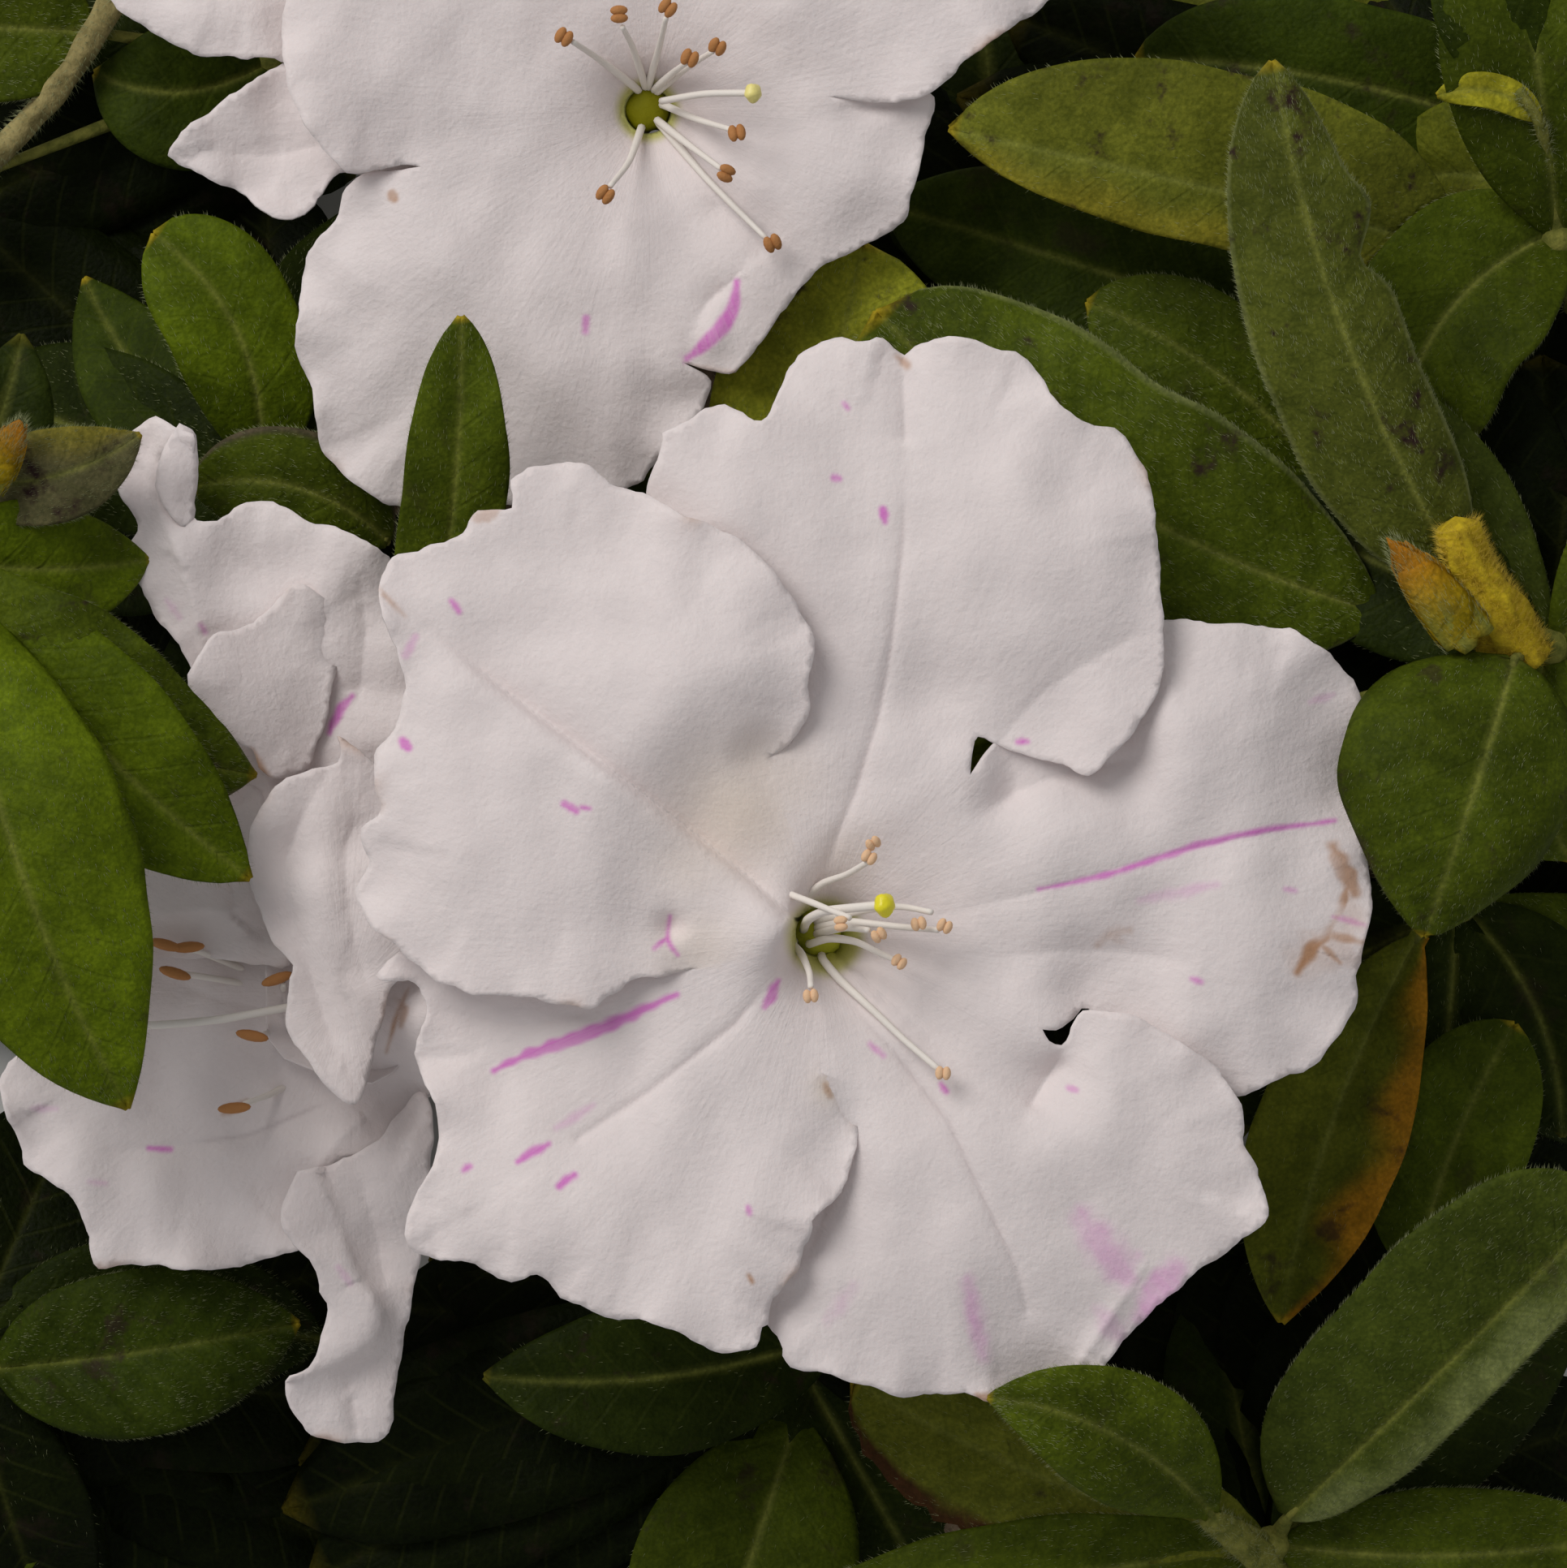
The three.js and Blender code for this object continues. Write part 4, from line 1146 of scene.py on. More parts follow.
MAIN_LOWER_LEFT_LOBE = {
    "from": NOTCH_LOWER, "to": NOTCH_LEFT, "lift": (0.7, -0.4), "pleats": 20, "ruffle": 0.5,
    "margin": [
        (1032, 1330), (1052, 1339), (1061, 1358), (1057, 1394), (1050, 1431), (1034, 1472), (1002, 1500),
        (999, 1523), (988, 1541), (983, 1564), (951, 1601), (946, 1631), (937, 1635), (935, 1652),
        (923, 1663), (891, 1665), (859, 1654), (836, 1640), (795, 1626), (758, 1624), (721, 1610),
        (694, 1599), (680, 1583), (662, 1568), (634, 1580), (607, 1569), (584, 1557), (524, 1548),
        (506, 1539), (499, 1514), (510, 1477), (531, 1440), (542, 1394), (529, 1344), (510, 1298),
        (526, 1247), (510, 1211), (462, 1204), (500, 1170), (600, 1140), (750, 1150), (820, 1178),
    ],
    "midrib": [(960, 1190), (905, 1261), (799, 1344), (712, 1404)],
    "creases": [
        crease([(520, 1240), (640, 1260), (760, 1240)], -0.5, 2),
    ],
    "swells": [
        (700, 1500, 7, 0.9), (900, 1380, 6, 0.6), (1030, 1420, 3, -0.7), (560, 1280, 5, -0.8),
        (830, 1560, 6, 0.5), (950, 1450, 4, 0.6),
    ],
    "warm": [(1020, 1340, 1.2, 0.5)],
    "marks": [
        mark([(609, 1319), (648, 1300), (694, 1284), (758, 1259), (834, 1225)], 17, taper=0.6),
        mark([(639, 1431), (658, 1420), (676, 1410)], 12),
        mark([(690, 1461), (708, 1447)], 11, strength=0.9),
        mark([(572, 1442), (579, 1438)], 10, strength=0.9),
        mark([(922, 1486), (924, 1494)], 7, strength=0.8),
        mark([(685, 1390), (731, 1362)], 11, strength=0.28, soft=0.3),
        mark([(958, 1208), (950, 1225), (942, 1241)], 13, strength=0.85),
        brown([(1017, 1336), (1022, 1350)], 8, strength=0.9),
        brown([(923, 1570), (927, 1578)], 6, strength=0.9),
    ],
}

# Its throat as a pixel, the heights of its mouth and of its tube's foot, and that foot. gentle is the way in
# which its funnel is wider, by skew, than its spread in mm. green is where its throat is green, and how far.
MAIN_BLOOM = {
    "throat": (1008, 1150), "mouth": 47, "base": 20, "foot": (2, -11, 20.5), "gentle": (0.95, -0.3),
    "spread": 2.4, "skew": 0.92, "green": ((0.5, -0.3), 2.4),
    "creases": [
        crease([(505, 755), (620, 850), (720, 925), (820, 1000), (925, 1085), (970, 1126)], -1.1, 0.4,
            step=-0.9, reach=7, open_end=True),
    ],
    "swells": [(950, 1150, 3.2, 1.9)],
    "lobes": [
        MAIN_LEFT_LOBE, MAIN_TOP_LOBE, MAIN_RIGHT_LOBE, MAIN_LOWER_RIGHT_LOBE, MAIN_LOWER_LEFT_LOBE,
    ],
}

# Notches between the lobes of the upper bloom, some of them beyond the photograph
UPPER_NOTCH_LEFT = (520, 206)
UPPER_NOTCH_TOP_LEFT = (640, -120)
UPPER_NOTCH_TOP = (850, -200)
UPPER_NOTCH_RIGHT = (1020, 120)
UPPER_NOTCH_LOWER = (842, 447)

UPPER_LEFT_LOBE = {
    "from": UPPER_NOTCH_LEFT, "to": UPPER_NOTCH_TOP_LEFT, "lift": (2.0, 1.0), "pleats": 18, "worn": 0.3,
    "margin": [
        (498, 204), (460, 212), (429, 214), (395, 180), (364, 130), (349, 60), (352, 0), (340, -80),
        (380, -200), (480, -330), (620, -420), (700, -400), (700, -250),
    ],
    "creases": [
        crease([(505, 200), (610, 205), (700, 175)], -0.9, 1.6, ends=0.3),
    ],
    "swells": [(460, 60, 7, 1.0), (620, 60, 5, -0.6)],
}

UPPER_TOP_LOBE = {
    "from": UPPER_NOTCH_TOP_LEFT, "to": UPPER_NOTCH_TOP, "lift": (0, 0.5), "pleats": 18, "worn": 0.3,
    "margin": [(700, -300), (760, -420), (840, -400), (880, -300)],
}

UPPER_RIGHT_LOBE = {
    "from": UPPER_NOTCH_TOP, "to": UPPER_NOTCH_RIGHT, "lift": (0.5, 1.6), "pleats": 18, "worn": 0.6,
    "margin": [
        (880, -280), (960, -330), (1100, -340), (1240, -300), (1330, -200), (1340, -80), (1294, 0),
        (1240, 40), (1194, 73), (1149, 115), (1100, 128),
    ],
    "swells": [(1100, 20, 6, 0.8), (1000, 130, 3, -0.7)],
}

UPPER_LOWER_RIGHT_LOBE = {
    "from": UPPER_NOTCH_RIGHT, "to": UPPER_NOTCH_LOWER, "lift": (-0.8, 1.5), "pleats": 16, "worn": 0.9,
    "margin": [
        (1090, 112), (1149, 118), (1140, 170), (1129, 222), (1110, 276), (1060, 305), (1003, 337),
        (955, 398), (907, 459), (872, 456),
    ],
    "creases": [
        crease([(845, 440), (868, 380), (905, 345)], -0.8, 0.8, ends=0.5, step=-0.5, reach=2.5),
        crease([(860, 240), (930, 290), (960, 300)], -0.4, 1.4),
        crease([(1000, 134), (1080, 132), (1150, 118)], -0.6, 0.9, ends=0.6),
    ],
    "swells": [(1010, 230, 5, 0.7), (860, 420, 1.8, 1.4)],
    "marks": [
        mark([(845, 443), (866, 428), (893, 400), (905, 375), (909, 348)], 19, taper=0.6, rough=0.05),
        brown([(842, 452), (880, 455), (907, 459)], 10, strength=0.5),
    ],
}

UPPER_LOWER_LOBE = {
    "from": UPPER_NOTCH_LOWER, "to": UPPER_NOTCH_LEFT, "lift": (-0.6, -1.4), "pleats": 20, "worn": 0.4,
    "margin": [
        (876, 470), (865, 505), (835, 545), (804, 574), (785, 597), (740, 606), (700, 612), (650, 620),
        (601, 624), (540, 626), (475, 620), (421, 582), (395, 551), (383, 475), (364, 429), (370, 370),
        (379, 314), (414, 268), (429, 230), (446, 214), (480, 212),
    ],
    "swells": [(620, 450, 8, 0.9), (820, 470, 4, -0.9), (480, 330, 5, 0.6), (700, 560, 5, -0.5)],
    "marks": [
        mark([(722, 394), (722, 408)], 13, strength=0.7, soft=0.2),
        brown([(484, 240), (488, 246)], 12, strength=0.8),
    ],
}

UPPER_BLOOM = {
    "throat": (798, 134), "mouth": 33, "base": 13.5, "foot": (-9.5, 48, 14.5), "gentle": (0.2, -0.9),
    "spread": 3.4, "skew": 0.3, "green": ((0, 0), 1.9),
    "lobes": [
        UPPER_LEFT_LOBE, UPPER_TOP_LOBE, UPPER_RIGHT_LOBE, UPPER_LOWER_RIGHT_LOBE, UPPER_LOWER_LOBE,
    ],
}

# The two halves of a lobe that lies behind the upper bloom's left side
BEHIND_LOWER_HALF = {
    "z": 31.5, "tilt": (0.05, 0.0), "ruffle": 0.6,
    "outline": [
        (560, 150), (520, 210), (460, 216), (429, 212), (414, 216), (380, 260), (345, 272), (300, 240),
        (261, 222), (207, 191), (222, 168), (238, 153), (300, 108), (352, 77), (420, 60), (520, 80),
    ],
    "creases": [
        crease([(250, 185), (340, 190), (420, 170)], -0.7, 2),
    ],
}

BEHIND_UPPER_HALF = {
    "z": 31.0, "tilt": (0.04, 0.0), "ruffle": 0.6,
    "outline": [
        (560, 40), (420, 76), (352, 78), (330, 72), (245, 68), (190, 40), (145, 10), (100, -60),
        (110, -130), (150, -180), (300, -250), (450, -200), (560, -100),
    ],
    "creases": [
        crease([(180, -60), (300, -40), (420, 0)], -0.8, 2),
    ],
}

UPPER_LOOSE = [BEHIND_LOWER_HALF, BEHIND_UPPER_HALF]

# The sheets of the crumpled bloom that faces away to the left, from its upper petal to its hanging strip
LEFT_BLOOM_THROAT = (430, 1225)

LEFT_UPPER_SHEET = {
    "z": 33.5, "tilt": (-0.02, 0.06), "ruffle": 0.7,
    "outline": [
        (136, 571), (150, 545), (174, 523), (194, 514), (221, 529), (241, 540), (239, 600), (239, 638),
        (269, 642), (300, 620), (340, 620), (380, 642), (425, 654), (478, 686), (520, 760), (540, 860),
        (520, 960), (470, 1030), (430, 1100), (430, 1180), (380, 1100), (330, 1000), (280, 940),
        (237, 868), (237, 822), (210, 782), (182, 741), (160, 674), (172, 650), (150, 610),
    ],
    "creases": [
        crease([(196, 620), (218, 680), (238, 740), (248, 800)], 0.5, 0.9, ends=0.6, step=0.7, reach=3),
        crease([(250, 650), (330, 720), (420, 800)], -0.5, 2),
        crease([(440, 700), (450, 780), (440, 880)], -0.6, 1.6),
    ],
    "swells": [(420, 700, 4, 0.6), (490, 820, 3, 0.5), (165, 560, 2.5, -0.8)],
    "marks": [
        mark([(434, 858), (417, 878), (406, 903)], 13), mark([(248, 770), (253, 778)], 8, strength=0.6),
        mark([(206, 740), (222, 760)], 9, strength=0.25, soft=0.25),
    ],
}

LEFT_ROLLED_TIP = {
    "z": 34.6, "tilt": (-0.12, 0.02), "ruffle": 0.15,
    "outline": [
        (222, 522), (241, 534), (243, 590), (239, 636), (230, 650), (208, 634), (194, 604), (196, 572),
        (208, 542),
    ],
    "swells": [(222, 585, 1.8, 0.5)],
}

LEFT_SCOOP = {
    "z": 35.0, "tilt": (-0.32, 0.0), "ruffle": 0.2,
    "outline": [
        (233, 832), (248, 805), (269, 780), (312, 769), (335, 745), (356, 725), (375, 720), (395, 733),
        (411, 755), (415, 800), (409, 850), (396, 905), (376, 948), (362, 955), (344, 960), (330, 955),
        (320, 947), (312, 923), (277, 915), (252, 895), (237, 868),
    ],
    "swells": [(300, 850, 4.5, 0.6)],
    "marks": [
        brown([(312, 925), (318, 945), (330, 955)], 12, strength=0.8),
    ],
}

LEFT_HANGING_FOLD = {
    "z": 37.6, "tilt": (0.0, 0.0), "ruffle": 0.35,
    "outline": [
        (417, 907), (421, 925), (415, 942), (398, 945), (380, 948), (350, 962), (325, 988), (312, 1014),
        (305, 1053), (306, 1079), (312, 1100), (320, 1120), (335, 1160), (361, 1189), (357, 1208),
        (355, 1225), (352, 1260), (362, 1284), (378, 1304), (400, 1335), (428, 1360), (444, 1357),
        (455, 1320), (466, 1275), (480, 1225), (505, 1190), (540, 1150), (535, 1050), (500, 980),
        (450, 930),
    ],
    "creases": [
        crease([(408, 945), (372, 1010), (352, 1080), (372, 1160), (395, 1240), (420, 1310)], -1.0, 1.5,
            ends=0.3, step=0.5, reach=4),
        crease([(440, 980), (425, 1060), (435, 1150), (460, 1240)], -0.7, 2.0, ends=0.3),
    ],
    "swells": [(430, 1120, 3, 0.5)],
}

LEFT_BACK_SHEET = {
    "z": 32.5, "tilt": (0.06, -0.04), "ruffle": 0.5,
    "outline": [
        (253, 974), (285, 966), (316, 966), (330, 1020), (330, 1086), (345, 1140), (355, 1190),
        (300, 1185), (230, 1180), (187, 1185), (120, 1200), (60, 1150), (60, 1080), (120, 1020),
        (180, 990),
    ],
    "creases": [
        crease([(300, 985), (285, 1060), (290, 1140)], -0.7, 1.2, ends=0.3),
        crease([(180, 1130), (250, 1120), (310, 1125)], 0.5, 1.2),
    ],
}

LEFT_LOWER_SHEET = {
    "z": 29.5, "tilt": (0.03, 0.05), "ruffle": 0.8,
    "outline": [
        (10, 1380), (19, 1395), (25, 1415), (29, 1433), (55, 1452), (86, 1471), (100, 1495), (108, 1519),
        (112, 1545), (124, 1564), (158, 1557), (215, 1562), (277, 1564), (320, 1552), (368, 1538),
        (416, 1433), (474, 1414), (517, 1356), (560, 1330), (570, 1230), (520, 1160), (430, 1180),
        (350, 1168), (300, 1158), (240, 1152), (187, 1160), (100, 1200), (30, 1290), (0, 1330),
    ],
    "midrib": [(421, 1351), (306, 1399), (225, 1409)],
    "creases": [
        crease([(420, 1350), (306, 1399), (120, 1420)], -0.5, 1.6),
        crease([(480, 1350), (420, 1400), (380, 1460)], 0.7, 1.4),
        crease([(190, 1200), (270, 1230), (350, 1250)], -0.6, 2),
    ],
    "swells": [(220, 1480, 6, 0.6), (120, 1340, 5, 0.4), (530, 1250, 4.5, 6)],
    "marks": [
        mark([(184, 1415), (210, 1417)], 8), mark([(40, 1365), (70, 1366)], 9, strength=0.3, soft=0.25),
        mark([(110, 1455), (130, 1458)], 7, strength=0.25, soft=0.25),
        brown([(275, 1372), (305, 1358)], 14, strength=0.6),
        brown([(507, 1216), (494, 1245), (478, 1295)], 5, soft=0.2),
        brown([(488, 1228), (500, 1238), (497, 1262)], 12, strength=0.6),
    ],
}

LEFT_STRIP = {
    "z": 30.3, "tilt": (-0.24, 0.16), "ruffle": 0.4,
    "outline": [
        (368, 1442), (347, 1490), (352, 1515), (364, 1533), (380, 1550), (392, 1567), (395, 1591),
        (404, 1610), (396, 1650), (383, 1682), (354, 1701), (352, 1720), (364, 1744), (383, 1768),
        (421, 1777), (459, 1778), (479, 1765), (484, 1730), (488, 1696), (502, 1624), (517, 1552),
        (528, 1465), (534, 1385), (525, 1345), (500, 1360), (470, 1400), (420, 1430),
    ],
    "creases": [
        crease([(408, 1480), (436, 1560), (470, 1618), (462, 1650), (430, 1672), (378, 1692)], 0.7, 0.8,
            ends=0.4, step=-1.4, reach=9),
        crease([(440, 1430), (462, 1520), (478, 1600)], -0.6, 1.6, ends=0.3),
        crease([(430, 1710), (436, 1745), (438, 1775)], -0.4, 0.8, ends=0.4),
    ],
    "swells": [(375, 1490, 2.2, 0.6), (420, 1740, 2.5, 0.4)],
    "marks": [
        mark([(418, 1560), (432, 1580)], 10, strength=0.25, soft=0.2),
    ],
}

LEFT_BLOOM = [
    LEFT_UPPER_SHEET, LEFT_ROLLED_TIP, LEFT_SCOOP, LEFT_HANGING_FOLD, LEFT_BACK_SHEET, LEFT_LOWER_SHEET,
    LEFT_STRIP,
]


def left_bloom_tube():
    """The short, hidden funnel of the bloom that faces away, from its stalk up to its petals"""
    foot = spot(-26, -14, 17.4)
    mouth = seen(*LEFT_BLOOM_THROAT, 31.5)
    radii = (1.3, 1.5, 1.7, 2.1, 2.9, 4.3, 6.4)
    turn = np.linspace(0, 2 * math.pi, 24, endpoint=False)
    rows = []
    for share, radius in zip(np.linspace(0, 1, len(radii)), radii):
        middle = foot * (1 - share) + mouth * share
        ripple = radius * (1 + 0.06 * share * np.cos(5 * turn))
        rows.append(middle + np.column_stack([np.cos(turn) * ripple, np.sin(turn) * ripple, 0 * turn]))
    points = np.vstack(rows)
    away = unit(points[:, :2] - mouth[:2])
    paint = np.zeros((len(points), 4))
    paint[:, 2] = np.repeat(np.linspace(0.8, 0, len(radii)), len(turn))
    rays = np.column_stack([away, np.full(len(points), 5.0), np.zeros(len(points))])
    return part(points, grid_faces(len(radii), len(turn), closed=True), {"paint": paint, "rays": rays})


def calyx(foot, direction, seed):
    """Five small sepals round the foot of a bloom's tube"""
    rng = np.random.default_rng(seed)
    direction = unit(np.asarray(direction, float))
    side = unit(np.cross(direction, [0.3, 1.0, 0.1]))
    face = np.cross(direction, side)
    plain = {"tone": "fresh", "hairy": 0, "spots": 0, "wave": 0.05, "filler": True}
    sepals = []
    for number in range(5):
        turn = 2 * math.pi * (number + rng.uniform(-0.1, 0.1)) / 5
        out = side * math.cos(turn) + face * math.sin(turn)
        tip = foot + direction * 3.2 + out * 2.6
        sepals.append(leaf_part(leaf(foot + out * 0.7, tip, 1.9, 0.3, **plain), seed + number))
    return joined(sepals)


# Stamens: the way of each filament out of the throat, its anthers, and how far it rises over the mouth
MAIN_STAMENS = [
    ([(986, 1110), (1015, 1088), (1044, 1077), (1070, 1062)], [(1071, 1056), (1076, 1039)], 4.0),
    ([(936, 1089), (990, 1108), (1047, 1131)], [(1036, 1138)], 5.5),
    ([(998, 1163), (1022, 1156), (1054, 1160), (1083, 1174), (1104, 1183)], [(1108, 1185)], 3.0),
    ([(1010, 1142), (1050, 1136), (1110, 1142), (1156, 1146)], [(1164, 1141)], 3.0),
    ([(1010, 1134), (1060, 1122), (1108, 1117), (1148, 1124)], [(1132, 1138)], 3.5),
    ([(1008, 1150), (1040, 1143), (1070, 1146)], [(1083, 1152)], 4.5),
    ([(976, 1162), (988, 1176), (997, 1197), (999, 1216)], [(999, 1227)], 3.0),
    ([(1014, 1182), (1032, 1204), (1062, 1232), (1112, 1279), (1157, 1318)], [(1162, 1322)], 2.0),
]
UPPER_STAMENS = [
    ([(785, 110), (740, 75), (706, 52)], [(695, 46)], 4.5),
    ([(795, 105), (780, 60), (767, 34)], [(763, 18)], 4.5),
    ([(800, 105), (812, 60), (821, 22)], [(823, 10)], 4.0),
    ([(808, 110), (830, 90), (846, 78)], [(850, 72)], 4.0),
    ([(812, 112), (845, 85), (878, 64)], [(884, 58)], 4.0),
    ([(818, 130), (860, 148), (900, 160)], [(908, 164)], 4.0),
    ([(812, 150), (850, 180), (888, 208)], [(895, 214)], 4.0),
    ([(815, 155), (870, 220), (944, 294)], [(952, 300)], 3.0),
    ([(790, 160), (775, 200), (752, 230)], [(746, 240)], 4.5),
]
LEFT_STAMENS = [
    ([(350, 1215), (290, 1190), (240, 1170)], [(232, 1167)], 2.0),
    ([(345, 1210), (280, 1180), (212, 1166)], [(204, 1164)], 2.0),
    ([(350, 1225), (290, 1210), (228, 1200)], [(216, 1199)], 2.0),
    ([(352, 1225), (350, 1212)], [(342, 1206)], 2.5),
    ([(360, 1260), (338, 1270), (320, 1276)], [(311, 1276)], 2.0),
    ([(380, 1320), (340, 1345), (302, 1360)], [(289, 1365)], 2.0),
]


def stamens(stamens_seen, throat, mouth, size, level, seed):
    """The filaments and the anthers of one bloom. size is an anther's half length and half width."""
    rng = np.random.default_rng(seed)
    filaments = []
    anthers = []
    for path, anthers_seen, rise in stamens_seen:
        start = 0.3 * seen(*throat, mouth - 7) + 0.7 * seen(*path[0], mouth - 7)
        heights = np.linspace(-3.6, rise, len(path))
        line = [start] + [seen(px, py, mouth + up) for (px, py), up in zip(path, heights)]
        limb = tube(line, 0.34, 0.22, sides=8, step=0.5, depth=0.02, seed=seed)
        filaments.append(part(limb["points"], limb["faces"]))
        for px, py in anthers_seen:
            middle = seen(px, py, mouth + rise + 0.2)
            axis = unit(np.array([rng.normal(1.5 if level else 0, 0.4), rng.normal(0, 0.4), 0.15]))
            cross = unit(np.cross(axis, UP)) * size[1] * 0.75
            for offset in (0 * cross,) if level else (cross, -cross):
                anthers.append(ball(middle + offset, axis, *size, sides=10, rings=8))
    return filaments, anthers


def ovary(throat, height):
    """The green ovary that fills the foot of a bloom's open funnel"""
    width = THROAT_RADIUS * 1.05
    return ball(seen(*throat, height), UP, 1.2, width, sides=20, rings=10, lobes=5, depth=0.05)


def style(path, heights, radius, stigma_radius, mouth):
    """The style of a bloom and the round, lobed stigma at its end. Heights are over the mouth."""
    line = [seen(px, py, mouth + up) for (px, py), up in zip(path, heights)]
    limb = tube(line, radius, radius, sides=8, step=0.5)
    lean = line[-1] - line[-2] + UP * 0.5
    head = ball(line[-1], lean, stigma_radius * 0.8, stigma_radius, sides=20, rings=9, lobes=5, depth=0.09)
    return part(limb["points"], limb["faces"]), head


def funnel_foot(bloom):
    """Height at which the open funnel of a bloom meets its tube"""
    return bloom["mouth"] - FUNNEL_SHARE * (bloom["mouth"] - bloom["base"])


# What stands in and under each bloom. anther is its half length and half width, and level anthers lie on
# their sides, one to a filament. style is its pixels, their heights over the mouth and its two radii.
INNER_PARTS = {
    "bloom_main": {
        "throat": MAIN_BLOOM["throat"], "mouth": MAIN_BLOOM["mouth"], "seed": 5,
        "stamens": MAIN_STAMENS, "anther": (0.52, 0.33), "level": False, "skins": (PALE_ANTHER, STIGMA),
        "style": (
            [(990, 1146), (996, 1133), (1015, 1123), (1047, 1119), (1090, 1115)],
            (-5, 0, 2.5, 4, 5.2), 0.34, 0.88,
        ),
        "ovary": (OVARY_PAINTED_LIGHT, funnel_foot(MAIN_BLOOM) + 0.5), "calyx": (2, -11, 20), "lean": (0, 0, 1),
    },
    "bloom_upper": {
        "throat": UPPER_BLOOM["throat"], "mouth": UPPER_BLOOM["mouth"], "seed": 6,
        "stamens": UPPER_STAMENS, "anther": (0.66, 0.38), "level": False, "skins": (ANTHER, PALE_STIGMA),
        "style": ([(815, 125), (870, 116), (928, 115)], (-1, 3, 5), 0.26, 0.72),
        "ovary": (DARK_OVARY, funnel_foot(UPPER_BLOOM) - 0.5), "calyx": (-9.5, 48, 13.8), "lean": (0, 0, 1),
    },
    "bloom_left": {
        "throat": LEFT_BLOOM_THROAT, "mouth": 31, "seed": 7,
        "stamens": LEFT_STAMENS, "anther": (1.25, 0.42), "level": True, "skins": (ANTHER, PALE_STIGMA),
        "style": ([(360, 1240), (270, 1256), (190, 1263), (140, 1262)], (2, 3, 3.5, 4), 0.3, 0.5),
        "calyx": (-26, -14, 16.8), "lean": (-0.3, -0.1, 1),
    },
}  # fmt: skip


def make_inner_parts(name, bloom):
    """The filaments, anthers, style, stigma, ovary and calyx of one bloom"""
    throat, mouth, seed = bloom["throat"], bloom["mouth"], bloom["seed"]
    anther_skin, stigma_skin = bloom["skins"]
    filaments, anthers = stamens(bloom["stamens"], throat, mouth, bloom["anther"], bloom["level"], seed)
    limb, head = style(*bloom["style"], mouth)
    make_piece(name + "_filaments", joined(filaments + [limb]), [FILAMENT], [name])
    make_piece(name + "_anthers", joined(anthers), [anther_skin], [name])
    make_piece(name + "_stigma", head, [stigma_skin], [name])
    if "ovary" in bloom:
        skin, height = bloom["ovary"]
        make_piece(name + "_ovary", ovary(throat, height), [skin], [name])
    sepals = calyx(spot(*bloom["calyx"]), bloom["lean"], 200 + seed)
    make_piece(name + "_calyx", sepals, [LEAF, LEAF_UNDER], [name], LEAF_THICKNESS)


def make_blooms():
    """The petals of the three blooms, and then their inner parts"""
    upper_throat = seen(*UPPER_BLOOM["throat"], 33)[:2]
    left_throat = seen(*LEFT_BLOOM_THROAT, 32)[:2]
    behind = [loose_petal(shape, upper_throat, 60 + i) for i, shape in enumerate(UPPER_LOOSE)]
    sheets = [loose_petal(shape, left_throat, 80 + 5 * i) for i, shape in enumerate(LEFT_BLOOM)]
    petals = {
        "bloom_main": lobed_bloom(MAIN_BLOOM, 11),
        "bloom_upper": joined([lobed_bloom(UPPER_BLOOM, 47), *behind]),
        "bloom_left": joined([*sheets, left_bloom_tube()]),
    }
    for name, shape in petals.items():
        make_piece(name + "_petals", shape, [PETAL], [name], PETAL_THICKNESS)
    for name, bloom in INNER_PARTS.items():
        make_inner_parts(name, bloom)


# Whorls of leaves, each round the knot at the end of its shoot


